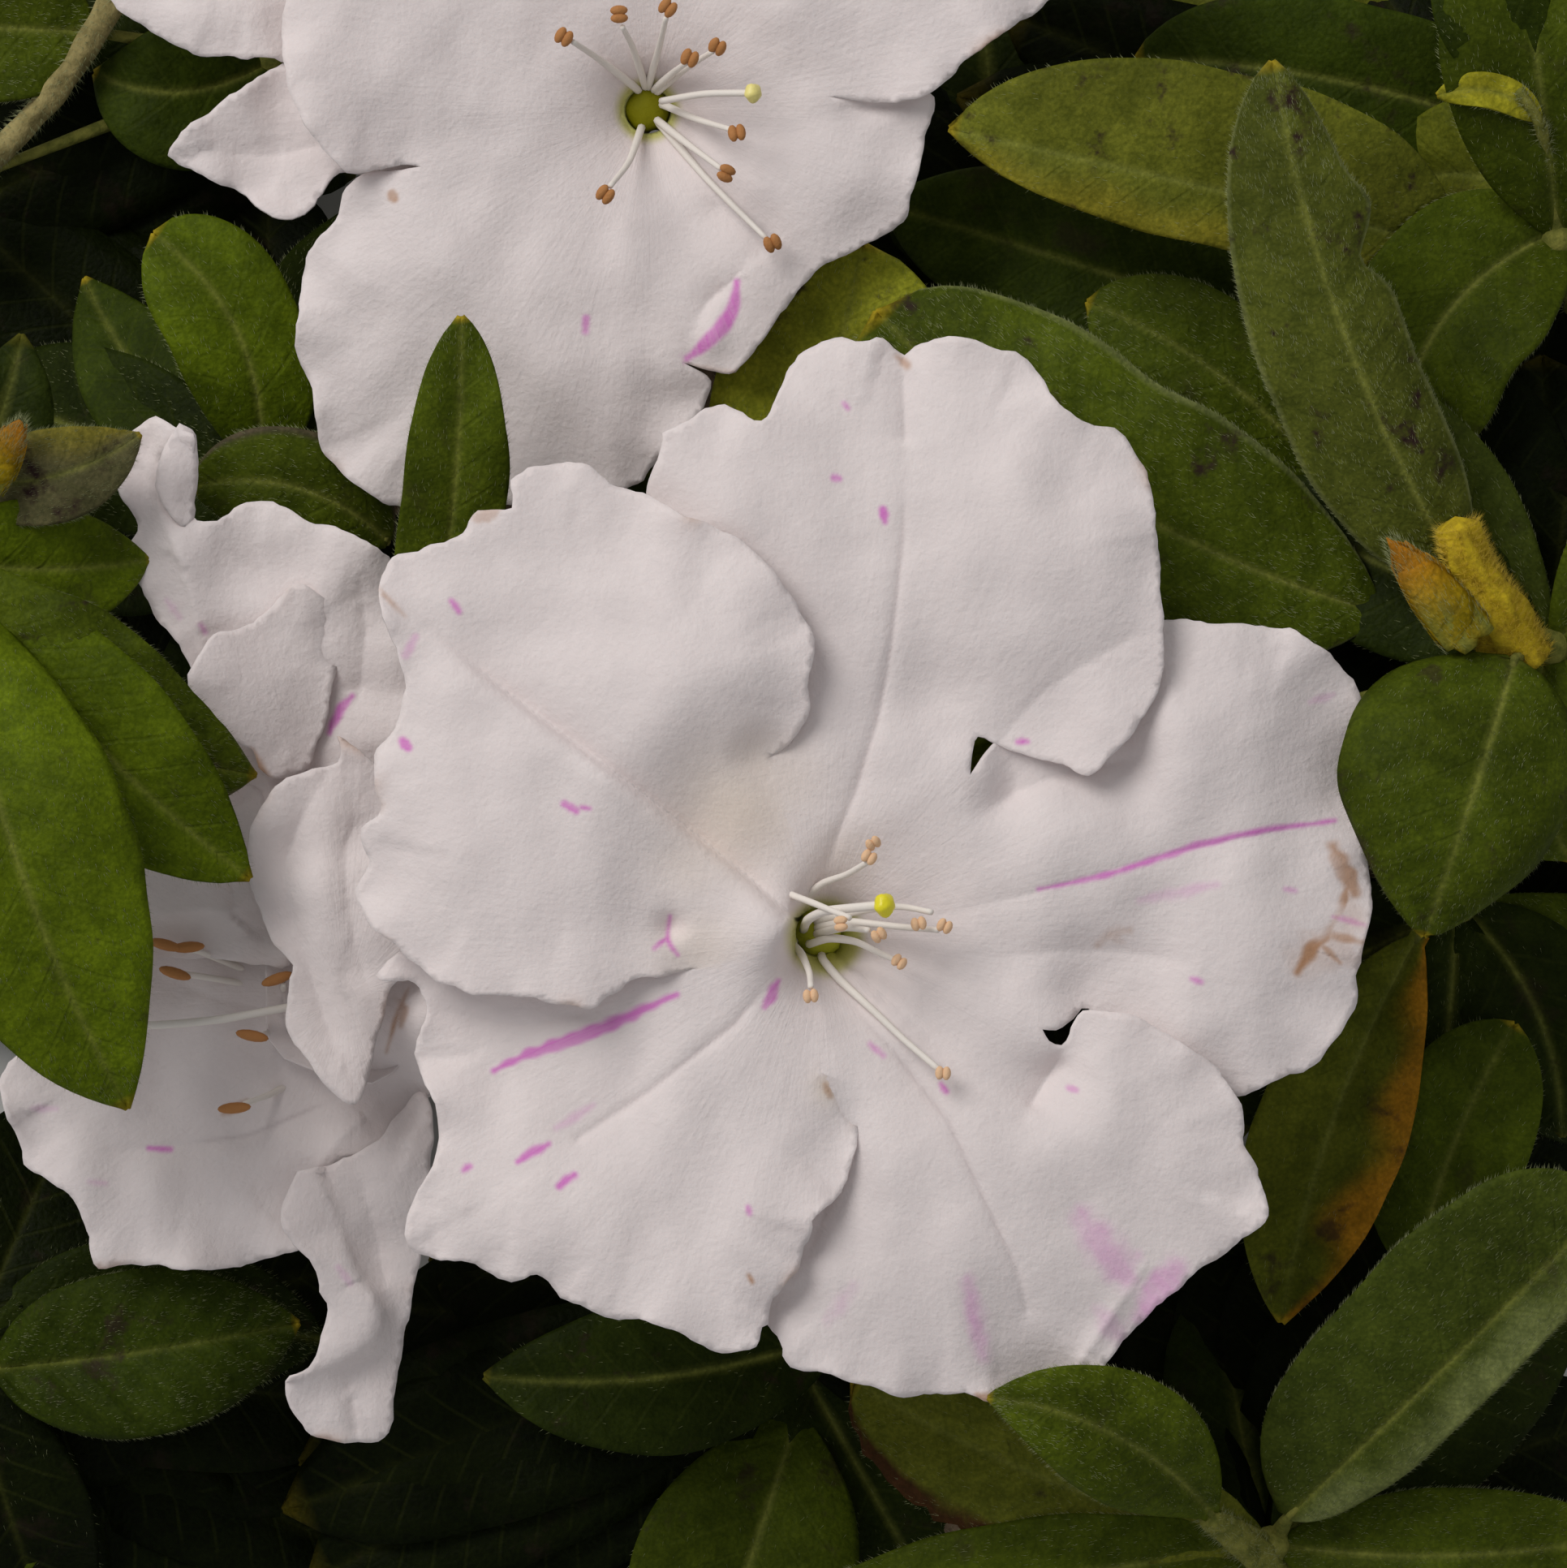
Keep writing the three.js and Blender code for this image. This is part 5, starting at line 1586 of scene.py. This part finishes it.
def whorls():
    """Every whorl's knot, slot and leaves. The leaves that are seen are placed by their pixels."""
    right = spot(56, 10, 38)
    upper_right = spot(57, 40, 30)
    left = spot(-64, 17, 41.5)
    upper_left = spot(-38, 21, 24)
    under_left = spot(-24.5, 12, 36.5)
    under_middle = spot(2, 16.5, 27)
    tip = spot(-38, 54, 14)
    lower_left = spot(-61, -43, 17)
    lower_right = spot(36, -56, 28.5)
    right_middle = spot(50, -9, 21.5)
    low_middle = spot(0, -41, 14)
    low_right = spot(33, -4, 7)
    low_left = spot(-42, -4, 10)
    low_upper = spot(15, 33, 7)
    return {
        "leaves_right": (right, "leaf", [
            leaf(seen(1795, 700, 41), seen(1568, 76, 47), 10.8, 3, bend=-2.0, roll=6, widest=0.42,
                ends=(1, 0.45), skew=-0.22, dents=((0.6, 1, 0.34), (0.71, 1, -0.2)), rib=1.3, quilt=1.8,
                tone="soft", hairy=1.4, spots=1.0, fold=-0.16, curl=0.1, edge="pale"),
            leaf(seen(1866, 812, 43), seen(1755, 1152, 45.5), 16.8, 4.5, widest=0.42, ends=(1, 0.1),
                skew=0.18, hairy=0.8, fold=0.0, curl=0.3, spots=0.6),
            leaf(seen(1700, 755, 36), seen(1080, 385, 31), 18.5, 3, bend=-3.0, roll=-6, ends=(0.3, 0.9),
                hairy=0.9, edge="pale", spots=0.9),
            leaf(seen(1640, 600, 27), seen(1340, 372, 27), 10.5, 2, bend=1.5, ends=(0.5, 0.5), hairy=0.9),
            leaf(right, seen(1548, 408, 30), 11, 2, bend=1, tone="grey", hairy=0.6),
            leaf(right, spot(77, 30, 34), 13, 4),
            leaf(right, spot(80, -8, 30), 14, 4, tone="fresh"),
            leaf(right, seen(1935, 1060, 34), 12, 3, bend=2, hairy=0.4),
            leaf(right, seen(1520, 610, 30), 12, 2, tone="deep", hairy=0.2),
            leaf(seen(1640, 870, 38), seen(1172, 948, 40), 11, 1, tone="fresh", hairy=0, filler=True),
        ]),
        "leaves_upper_right": (upper_right, "leaf", [
            leaf(seen(1790, 306, 31), seen(1170, 160, 33), 12.8, 4, roll=4, ends=(0.7, 0.3), skew=0.36,
                tone="bright", hairy=0.15, edge="yellow", spots=0.9, rib=1.3),
            leaf(seen(1922, 284, 30), seen(1725, 605, 31), 13.5, 3, bend=4, roll=-8, ends=(0.8, 0.5),
                hairy=0.7, fold=0.3, rib=1.6),
            leaf(seen(1890, 172, 21), seen(1400, 72, 21), 12, 3, bend=1.2, ends=(0.8, 0.4), tone="dark",
                hairy=0.0, spots=0.6),
            leaf(seen(1700, 445, 22), seen(1090, 252, 18), 13, 3, ends=(0.5, 0.4), rib=0.8, tone="dark",
                hairy=0, spots=0.4),
            leaf(upper_right, spot(53, 66, 36), 14, 5),
            leaf(seen(1900, 150, 37), seen(1771, 118, 38), 2.6, 1, bend=1.2, ends=(0.4, 0.4),
                tone="yellow", hairy=0.4, spots=0),
            leaf(seen(1905, 110, 37), seen(1800, -90, 38), 8.5, 1, bend=-1, tone="dark", hairy=0.3,
                spots=0.5),
            leaf(upper_right, spot(82, 58, 24), 14, 5),
            leaf(upper_right, spot(79, 40, 12), 13, 4, tone="deep"),
            leaf(upper_right, seen(1640, 330, 22), 14, 2, bend=-3, tone="deep", hairy=0.2),
            leaf(seen(1800, 90, 12), seen(1240, -10, 12), 13, 3, bend=2, tone="bright", hairy=0,
                spots=0.5),
            leaf(upper_right, seen(1700, 240, 20), 12, 2, bend=3, tone="olive", hairy=0.1),
        ]),
        "leaves_left": (left, "leaf", [
            leaf(seen(-60, 720, 42), seen(157, 1365, 46), 17.5, 5.5, bend=1.6, roll=4, tone="fresh",
                spots=0.5, curl=0.2),
            leaf(seen(-60, 700, 41), seen(308, 1082, 41), 12.5, 3, bend=1.2, tone="fresh", hairy=0.4,
                spots=0.2),
            leaf(left, seen(315, 955, 38), 14.5, 3, bend=3.2, quilt=2.6, hairy=0.8, spots=1.0, wave=0.6,
                edge="purple"),
            leaf(left, seen(185, 690, 34), 10, 2, bend=1, tone="fresh", hairy=0.2),
            leaf(seen(-60, 590, 38), seen(172, 536, 38), 7.0, 2.5, bend=1.6, tone="scaly", hairy=1.6,
                spots=1.0, edge="yellow", quilt=2),
            leaf(left, spot(-80, 34, 34), 12, 4),
            leaf(left, spot(-80, 0, 28), 13, 4),
            leaf(left, seen(130, 800, 30), 13, 2, bend=1, tone="deep", hairy=0.1),
        ]),
        "leaves_upper_left": (upper_left, "leaf", [
            leaf(seen(322, 575, 25), seen(190, 288, 27), 9.8, 2.5, bend=2.6, widest=0.55, ends=(0.5, 0.8),
                tone="fresh", hairy=0.4, spots=0.1),
            leaf(upper_left, seen(105, 345, 15), 9.5, 2, bend=-1.5, tone="dark", hairy=0.1),
            leaf(seen(480, 668, 27), seen(238, 600, 29), 8.5, 2, bend=2.0, ends=(0.4, 0.4), hairy=0.9,
                edge="purple"),
            leaf(upper_left, spot(-62, 30, 8), 13, 4, tone="deep"),
            leaf(upper_left, spot(-30, 44, 10), 12, 2, tone="deep"),
            leaf(upper_left, seen(400, 430, 14), 10, 2, tone="painted_shade", hairy=0),
        ]),
        "leaves_under_left": (under_left, "leaf", [
            leaf(seen(532, 800, 36), seen(568, 390, 43.5), 7.6, 1.2, bend=0.7, widest=0.45, ends=(1, 0.3),
                hairy=0.7),
            leaf(under_left, spot(-6, 16, 39), 9, 1, hairy=0.2, filler=True),
        ]),
        "leaves_under_middle": (under_middle, "leaf", [
            # This leaf's colour is painted light, against the shadow that the upper bloom casts on it
            leaf(seen(975, 770, 27.5), seen(1064, 300, 29), 17, 1.5, bend=-0.3, ends=(0.5, 0.8),
                tone="painted_light", hairy=0.3, spots=0.9),
            leaf(under_middle, spot(-12, 24, 29), 9, 2, tone="deep", filler=True),
            leaf(under_middle, spot(24, 6, 26), 12, 3, tone="deep", filler=True),
        ]),
        "leaves_tip": (tip, "shaded_leaf", [
            leaf(tip, seen(118, 92, 17), 11.5, 3, bend=-2, tone="dark", hairy=0),
            leaf(tip, spot(-62, 66, 6), 14, 5, tone="deep"),
            leaf(tip, spot(-40, 82, 8), 14, 5),
            leaf(tip, spot(-16, 82, 6), 14, 5),
            leaf(tip, spot(-58, 47, 2), 11, 4, tone="painted_shade", hairy=0),
            leaf(seen(115, 40, 19.5), seen(-150, 30, 19), 11, 1, ends=(0.7, 0.4), hairy=0.9),
            leaf(seen(-6, 208, 19.5), seen(-90, 320, 16), 5, 1, tone="fresh", hairy=0.6),
            leaf(seen(-6, 208, 19.5), seen(-150, 190, 18), 4, 1, tone="fresh", hairy=0.6),
        ]),
        "leaves_lower_left": (lower_left, "leaf", [
            leaf(seen(-8, 1686, 20), seen(366, 1630, 23), 12.3, 3, bend=0.3, widest=0.48, ends=(0.3, 0.1),
                quilt=3.4, rib=0.6, tone="dark", hairy=1.3, spots=0.7),
            leaf(lower_left, seen(402, 1652, 13), 13.5, 3, bend=-2, tone="deep", hairy=0.6, spots=0.6),
            leaf(lower_left, spot(-54, -66, 6), 12, 5, tone="painted_shade", hairy=0.1),
            leaf(lower_left, spot(-80, -56, 8), 13, 5),
            leaf(lower_left, spot(-76, -26, 8), 13, 5),
            leaf(lower_left, spot(-52, -22, 9), 13, 4, tone="painted_shade", hairy=0.1),
            leaf(seen(-30, 1950, 12), seen(48, 1830, 14), 6, 1),
        ]),
        "leaves_lower_right": (lower_right, "leaf", [
            leaf(seen(1495, 1868, 36), seen(1217, 1721, 46.8), 9.6, 4, bend=2.0, roll=4, widest=0.42,
                hairy=1.1, fold=0.1, curl=0.15),
            leaf(lower_right, seen(1052, 1702, 26), 12, 2.5, bend=-1.5, ends=(0, 0.7), tone="bright",
                hairy=0.4, spots=0.8, edge="worn"),
            leaf(lower_right, seen(960, 1985, 26), 9, 3, hairy=0.6),
            leaf(seen(1588, 1868, 32), seen(1985, 1478, 42), 12.4, 4, roll=-4, ends=(0.7, 1), skew=-0.4,
                tone="grey", hairy=1.1, edge="sage", fold=0.22),
            leaf(lower_right, seen(2010, 1890, 30), 10, 3, bend=1, hairy=0.9),
            leaf(lower_right, seen(1950, 1610, 22), 13, 3, bend=-1, tone="deep", hairy=0.2),
            leaf(lower_right, spot(22, -78, 14), 13, 5),
            leaf(lower_right, spot(50, -80, 10), 14, 5),
            leaf(seen(1745, 1570, 22), seen(1866, 1262, 25), 11, 2, bend=-1, ends=(0.4, 0.5), hairy=0.2,
                spots=0.4),
        ]),
        "leaves_right_middle": (right_middle, "leaf", [
            leaf(seen(1750, 1150, 24), seen(1578, 1628, 27), 11.5, 3, bend=1.5, roll=8, widest=0.55,
                tone="olive", hairy=0.1, edge="orange", spots=0.7),
            leaf(right_middle, spot(48, -32, 17), 11, 3, tone="deep"),
            leaf(right_middle, spot(61, -27, 13), 12, 3, tone="deep"),
            leaf(right_middle, spot(79, -24, 9), 13, 4),
            leaf(right_middle, spot(28, -20, 12), 13, 2, tone="deep", filler=True),
            leaf(right_middle, seen(1925, 1400, 20), 11, 2, bend=-2, tone="deep", hairy=0.1),
        ]),
        "leaves_low_middle": (low_middle, "shaded_leaf", [
            leaf(seen(1040, 1640, 16), seen(597, 1695, 21), 11.5, 2.5, bend=-1.6, tone="deep", hairy=0.1,
                spots=0.8),
            leaf(seen(985, 1740, 14), seen(846, 2150, 12), 17, 3, hairy=0.1, spots=0.6),
            leaf(low_middle, spot(-24, -60, 9), 13, 3, tone="painted_shade", hairy=0),
            leaf(low_middle, spot(14, -66, 6), 15, 3, tone="deep", hairy=0.1),
            leaf(low_middle, spot(28, -44, 8), 14, 3, tone="painted_shade", hairy=0),
            leaf(low_middle, spot(-22, -26, 12), 14, 2, tone="painted_shade", hairy=0),
            leaf(low_middle, spot(4, -74, 2), 13, 3, tone="painted_shade", hairy=0),
        ]),
        "leaves_low_right": (low_right, "shaded_leaf", painted_shade_leaves(low_right, [
            (44, -28, 2, 14, 4), (62, 14, 2, 14, 4), (34, 26, 4, 15, 4), (12, 6, 4, 14, 3),
            (66, -12, 4, 13, 4),
        ])),
        "leaves_low_left": (low_left, "shaded_leaf", painted_shade_leaves(low_left, [
            (-66, 10, 3, 14, 4), (-70, -14, 2, 14, 4), (-48, -30, 4, 14, 4), (-30, 14, 3, 13, 3),
            (-54, 26, 2, 13, 4),
        ])),
        "leaves_low_upper": (low_upper, "shaded_leaf", painted_shade_leaves(low_upper, [
            (16, 58, 5, 15, 4), (40, 48, 3, 15, 4), (-4, 14, 2, 13, 3), (48, 24, 2, 14, 4),
            (-6, 68, 2, 14, 4),
        ])),
    }  # fmt: skip


# How many small leaves, dark with painted shade, fill in round the low shoots, and how far they reach
LOW_FILLERS = {
    "leaves_low_right": (14, 30), "leaves_low_left": (14, 28), "leaves_low_upper": (16, 34),
    "leaves_low_middle": (14, 28), "leaves_tip": (8, 26), "leaves_lower_left": (8, 24),
    "leaves_lower_right": (8, 26), "leaves_right_middle": (6, 24), "leaves_upper_right": (8, 26),
    "leaves_upper_left": (6, 22), "leaves_left": (5, 22), "leaves_right": (5, 22),
}  # fmt: skip


# Where the tips of more leaves, dark with painted shade, are seen, and their height, by whorl
SHADE_TIPS = {
    "leaves_upper_left": [(60, 280, 10), (200, 235, 10), (330, 215, 10), (20, 400, 9), (500, 660, 12),
                          (-20, 330, 9), (130, 215, 9), (270, 210, 9), (-60, 250, 10), (-60, 200, 9)],
    "leaves_tip": [(-50, 260, 10), (40, 300, 9), (-50, 160, 10), (110, 290, 9)],
    "leaves_right": [(1850, 470, 27), (1940, 520, 28), (1760, 420, 27), (1900, 440, 27)],
    "leaves_upper_right": [(1235, 15, 13), (1180, 120, 13)],
    "leaves_lower_left": [(430, 1560, 8), (450, 1640, 7), (460, 1730, 8), (440, 1820, 7), (430, 1910, 7),
                          (330, 1990, 7), (170, 1990, 7)],
    "leaves_low_middle": [(530, 1550, 6), (480, 1610, 5), (460, 1690, 4), (370, 1800, 13), (350, 1860, 13),
                          (380, 1950, 12), (500, 1990, 9), (610, 1990, 6), (720, 1980, 6)],
    "leaves_low_right": [(1200, 1300, 4), (1290, 1330, 4)],
    "leaves_low_left": [(470, 1330, 6), (490, 1430, 5)],
    "leaves_lower_right": [(1440, 1520, 12), (1540, 1500, 12), (1640, 1480, 12), (1750, 1500, 13),
                           (1860, 1600, 13), (1950, 1800, 14), (1400, 1700, 12), (2000, 1740, 14)],
    "leaves_right_middle": [(1960, 1450, 12), (1860, 1530, 11), (1760, 1560, 10), (2010, 1430, 12)],
}  # fmt: skip


def filler_leaves(name, knot):
    """Smaller leaves, dark with painted shade, that fan out and down from a knot, inside the CAD mass"""
    count, reach = LOW_FILLERS.get(name, (0, 0))
    rng = np.random.default_rng(sum(map(ord, name)))
    low, high = (np.array(corner) / MM - SPRAY_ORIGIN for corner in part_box(name))
    made = []
    for number in range(count):
        turn = 2 * math.pi * (number + rng.uniform(-0.4, 0.4)) / count * 2
        length = reach * rng.uniform(0.7, 1.05)
        drop = rng.uniform(1.5, 9)
        tip = spot(knot[0] + length * math.cos(turn), knot[1] + length * math.sin(turn), drop)
        tip = np.clip(tip, low + 1, high - 1)
        tip[2] = max(drop, low[2] + 1)
        root = knot * [1, 1, 0.55] if knot[2] > 12 else knot
        root = np.array([root[0], root[1], max(root[2], 4)])
        wide, arch = rng.uniform(9, 13), rng.uniform(2, 4)
        bend, roll = rng.uniform(-2, 2), rng.uniform(-20, 20)
        own = {"bend": bend, "roll": roll, "tone": rng.choice(["painted_shade", "painted_shade", "deep"])}
        made.append(leaf(root, tip, wide, arch, **own, hairy=0, spots=0.5, filler=True))
    plain = {"ends": (0.3, 0.4), "tone": "painted_shade", "hairy": 0, "filler": True}
    for px, py, height in SHADE_TIPS.get(name, ()):
        root = np.array([knot[0], knot[1], min(knot[2], height + 1)])
        made.append(leaf(root, seen(px, py, height), 13, 2.5, **plain))
    return made


def leaf_stalk(knot, shape, seed):
    """The short stalk that joins a leaf's blade to the knot of its whorl"""
    base = shape["base"]
    if np.linalg.norm(base - knot) < 1:
        return None
    under_blade = leaf_frame(shape, np.array([0.03]))[0][0] - UP * 0.25
    middle = (knot + base) / 2 + UP * -0.8
    return tube([knot, middle, base - UP * 0.2, under_blade], 0.75, 0.35, sides=8, seed=seed)


def make_whorls():
    """Each whorl's blades, stalks and hairs, each kind joined"""
    for name, (knot, slot, leaves) in whorls().items():
        seed = sum(map(ord, name)) * 7
        every = leaves + filler_leaves(name, knot)
        blades = [leaf_part(shape, seed + i) for i, shape in enumerate(every)]
        make_piece(name + "_blades", joined(blades), [LEAF, LEAF_UNDER], [name], LEAF_THICKNESS)
        stalks = [leaf_stalk(knot, shape, seed + i) for i, shape in enumerate(every)]
        hub = untinted(ball(knot, UP, 1.5, 1.5, sides=12, rings=8))
        stalks = [stalk for stalk in stalks if stalk is not None] + [hub]
        make_piece(name + "_stalks", joined(stalks), [YOUNG], [name])
        hairy = [(i, shape) for i, shape in enumerate(leaves) if shape["hairy"] and not shape["filler"]]
        if hairy:
            hairs = joined([leaf_hairs(shape, seed + i) for i, shape in hairy])
            make_piece(name + "_hairs", hairs, [WHITE_HAIR], [name])


# Stem and shoots: the way each runs, and its radius at both ends
LIMBS = {
    "main_stem": (
        [(-26, -88, 2.6), (-26, -77, 2.6), (-19, -58, 5), (-9, -34, 8), (-2, -8, 10), (-1, 14, 10),
         (-8, 36, 9)],
        2.6, 1.4,
    ),
    "shoot_right": ([(-3, -14, 9.5), (22, -8, 11), (52, -5, 15), (65, 2, 27), (57, 9, 36)], 1.3, 1.1),
    "shoot_upper_right": ([(-1, 10, 10), (22, 20, 13), (43, 31, 19), (58, 38, 28)], 1.2, 0.9),
    "shoot_lower_right": ([(-15, -48, 6.5), (6, -54, 9), (24, -57, 17), (35, -56, 27)], 1.2, 0.9),
    "shoot_left": ([(-3, -9, 10), (-26, 0, 13), (-50, 4, 20), (-66, 11, 33), (-64, 16, 40)], 1.2, 0.9),
    "shoot_upper_left": ([(-2, 16, 9.5), (-16, 20, 11), (-30, 21, 15), (-37, 21, 22)], 1.1, 0.8),
    "shoot_lower_left": ([(-17, -52, 6), (-32, -50, 7), (-48, -47, 10), (-60, -43, 16)], 1.1, 0.8),
    "shoot_tip": ([(-8, 37, 8), (-17, 46, 9), (-29, 49, 10), (-37, 53, 13)], 1.0, 0.8),
    "shoot_low_right": ([(-2, -3, 9.5), (14, -4, 6.5), (31, -4, 6)], 1.1, 0.8),
    "shoot_low_left": ([(-6, -20, 9), (-22, -11, 7), (-40, -4.5, 8.5)], 1.1, 0.8),
    "shoot_low_upper": ([(-2, 17, 9.5), (6, 25, 7.5), (13.5, 32, 6.5)], 1.0, 0.8),
    "shoot_low_middle": ([(-11, -38, 8), (-5, -41, 11), (-1, -41.5, 13)], 1.0, 0.8),
    "shoot_right_middle": ([(44, -5.5, 13.5), (47, -8, 17), (49.5, -9, 20)], 0.9, 0.7),
    "shoot_under_left": ([(-1.5, 4, 10.5), (-12, 6, 15), (-21, 8, 25), (-24, 11, 35)], 1.0, 0.8),
    "shoot_under_middle": ([(-0.5, 11, 11.5), (1.5, 13, 18), (2, 15.5, 25.5)], 0.9, 0.8),
    "stalk_main_bloom": ([(-2, -11, 11), (0, -11.5, 15), (2, -11, 20)], 1.0, 0.9),
    "stalk_upper_bloom": ([(-8, 36, 10.6), (-9, 43, 11), (-9.5, 48, 13.5)], 1.0, 0.9),
    "stalk_left_bloom": ([(-13, -5, 13), (-20, -9, 13), (-26, -14, 16.5)], 1.0, 0.9),
}  # fmt: skip


def make_limbs():
    """The stem, its shoots and the flower stalks, with bark or young skin"""
    rng = np.random.default_rng(3)
    for seed, (name, (through, start, end)) in enumerate(LIMBS.items()):
        stem = name == "main_stem"
        skin, slot = (YOUNG, "young_shoot") if name.startswith("stalk") else (BARK, "bark")
        sides, depth = (28, 0.16) if stem else (16, 0.07)
        limb = tube(through, start, end, sides=sides, step=0.5, depth=depth, seed=seed, cut=stem)
        make_piece(name + "_limb", limb, [skin], [name])
        if not stem:
            hairs = hairy_tube(through, start, end, 9, 0.8, rng)
            make_piece(name + "_hairs", hairs, [WHITE_HAIR], [name])


# The two golden buds: where each begins and ends, and its width, mm
BUDS = {
    "bud_right": (seen(1815, 790, 43.5), seen(1704, 655, 45.5), 4.0),
    "bud_left": (seen(-20, 600, 42), seen(32, 512, 43.5), 3.0),
}
BURNT_TIP = (0.42, 0.15, 0.012)
# The young shoots that show among the leaves: the way each runs, its radius at both ends, its skin and its
# hairs, the depth of its relief and how many hairs stand on each mm of it
YOUNG_SHOOTS = {
    "leaves_right": (
        [seen(1872, 812, 39.5), seen(1838, 745, 42), seen(1810, 695, 43.2), seen(1796, 648, 44)],
        2.5, 1.5, GOLDEN, GOLDEN_HAIR, 0.34, 420,
    ),
    "leaves_upper_right": (
        [seen(1935, 380, 21), seen(1932, 290, 28), seen(1912, 200, 34), seen(1895, 150, 37),
         seen(1872, 112, 38.5)],
        0.6, 0.4, YOUNG, WHITE_HAIR, 0.12, 60,
    ),
    "leaves_lower_right": (
        [seen(1570, 1932, 27), seen(1530, 1900, 32), seen(1490, 1868, 36)],
        1.5, 0.9, YOUNG, WHITE_HAIR, 0.12, 60,
    ),
    "leaves_tip": (
        [spot(-38, 54, 14), seen(240, -90, 17), seen(166, -36, 19.5), seen(84, 92, 20), seen(2, 186, 20),
         seen(-20, 206, 20)],
        1.1, 0.9, STRAW, WHITE_HAIR, 0.12, 60,
    ),
}  # fmt: skip


def bud_directions(foot, tip):
    """Directions along, to the side of and out of the face of a bud"""
    direction = (tip - foot) / np.linalg.norm(tip - foot)
    side = unit(np.cross(direction, UP))
    return direction, side, np.cross(side, direction)


def bud_girth(share, wide):
    """How far a bud's skin is from its axis at shares of its length"""
    return wide * 0.5 * (1 - share**2.2) ** 0.9


def scales(foot, tip, wide, count, seed):
    """The core and the overlapping scales of a pointed bud"""
    rng = np.random.default_rng(seed)
    axis = tip - foot
    length = np.linalg.norm(axis)
    direction, side, face = bud_directions(foot, tip)
    core = untinted(ball(foot + axis * 0.42, axis, length * 0.42, wide * 0.4, sides=14, rings=12))
    plain = {"tone": "bud", "hairy": 0, "wave": 0.05, "filler": True}
    blades = []
    for number in range(count):
        turn = 2.4 * number
        out = side * math.cos(turn) + face * math.sin(turn)
        start = foot + axis * 0.08 * (number % 3) + out * wide * 0.22
        end = foot + axis * rng.uniform(0.55, 1.0) + out * wide * rng.uniform(0.05, 0.25)
        blade = leaf_part(leaf(start, end, wide * 0.85, 0, **plain), seed + number)
        along = np.clip((blade["points"] - foot) @ direction / length, 0, 1)
        tint = blade["values"]["tint"]
        tint[:, :3] = mixed(tint[:, :3], BURNT_TIP, smoothstep(along, 0.25, 0.95)[:, None] * 0.9)
        middle = foot + axis * along[:, None]
        girth = bud_girth(along, wide) + 0.08 + 0.10 * (number % 3)
        blade["points"] = middle + unit(blade["points"] - middle) * girth[:, None]
        blades.append(blade)
    return core, joined(blades)


def bud_hairs(foot, tip, wide, rng):
    """Hairs all over a bud, leaning to its tip"""
    direction, side, face = bud_directions(foot, tip)
    share = rng.uniform(0.03, 0.95, BUD_HAIRS)
    turn = rng.uniform(0, 2 * math.pi, BUD_HAIRS)[:, None]
    out = side * np.cos(turn) + face * np.sin(turn)
    girth = bud_girth(share, wide) + 0.1
    roots = foot + (tip - foot) * share[:, None] + out * girth[:, None]
    lean = out * rng.uniform(0.1, 0.5, (BUD_HAIRS, 1)) + direction + rng.normal(0, 0.1, (BUD_HAIRS, 3))
    return needles(roots, lean, rng.uniform(0.3, 0.9, BUD_HAIRS))


def make_buds():
    """The two golden, hairy buds, and the young shoots that end in leaves"""
    rng = np.random.default_rng(8)
    for number, (name, (foot, tip, wide)) in enumerate(BUDS.items()):
        core, blades = scales(foot, tip, wide, 7, 300 + number * 20)
        make_piece(name + "_core", core, [GOLDEN], [name])
        make_piece(name + "_scales", blades, [LEAF], [name], 0.15)
        make_piece(name + "_hairs", bud_hairs(foot, tip, wide, rng), [WHITE_HAIR], [name])
    for name, (through, start, end, skin, hair, depth, density) in YOUNG_SHOOTS.items():
        limb = tube(through, start, end, sides=24, step=0.35, depth=depth, seed=31)
        make_piece(name + "_shoot", limb, [skin], [name])
        hairs = hairy_tube(through, start, end, density, 0.8, rng)
        make_piece(name + "_shoot_hairs", hairs, [hair], [name])


# Stage


def make_floor():
    """A plain pale floor just under the spray"""
    mesh = bpy.data.meshes.new("floor")
    side = 4
    corners = [(-side, -side, 0), (side, -side, 0), (side, side, 0), (-side, side, 0)]
    mesh.from_pydata(corners, [], [(0, 1, 2, 3)])
    mesh.materials.append(plain_material("floor", (0.72, 0.71, 0.69), 0.9, specular=0.1))
    floor = linked("floor", mesh)
    floor.location.z = -0.0004


def make_light():
    """A soft sky, and a wide soft lamp at the upper left"""
    world = bpy.data.worlds.new("soft sky")
    world.use_nodes = True
    sky = world.node_tree.nodes["Background"]
    sky.inputs["Color"].default_value = (0.96, 0.98, 1.0, 1)
    sky.inputs["Strength"].default_value = 0.38
    bpy.context.scene.world = world
    lamp = bpy.data.lights.new("window", "AREA")
    lamp.shape = "DISK"
    lamp.size = 1.1
    lamp.energy = 17.5
    lamp.color = (1.0, 0.98, 0.95)
    light = linked("window", lamp)
    light.location = (-0.85, 0.95, 1.15)
    light.rotation_euler = (-light.location).to_track_quat("-Z", "Y").to_euler()
    light.visible_camera = False


def make_camera():
    """A camera straight above the middle of the photograph, looking down"""
    lens = bpy.data.cameras.new("camera")
    lens.sensor_width = SENSOR
    lens.lens = SENSOR * CAMERA_ABOVE_FACE / (PICTURE[0] * PIXEL)
    lens.clip_end = 20
    camera = linked("camera", lens)
    camera.location = (SPRAY_ORIGIN + spot(0, 0, FACE_HEIGHT + CAMERA_ABOVE_FACE)) * MM
    bpy.context.scene.camera = camera
    bpy.context.scene.view_settings.view_transform = "Standard"


make_blooms()
make_whorls()
make_limbs()
make_buds()
make_floor()
make_light()
make_camera()
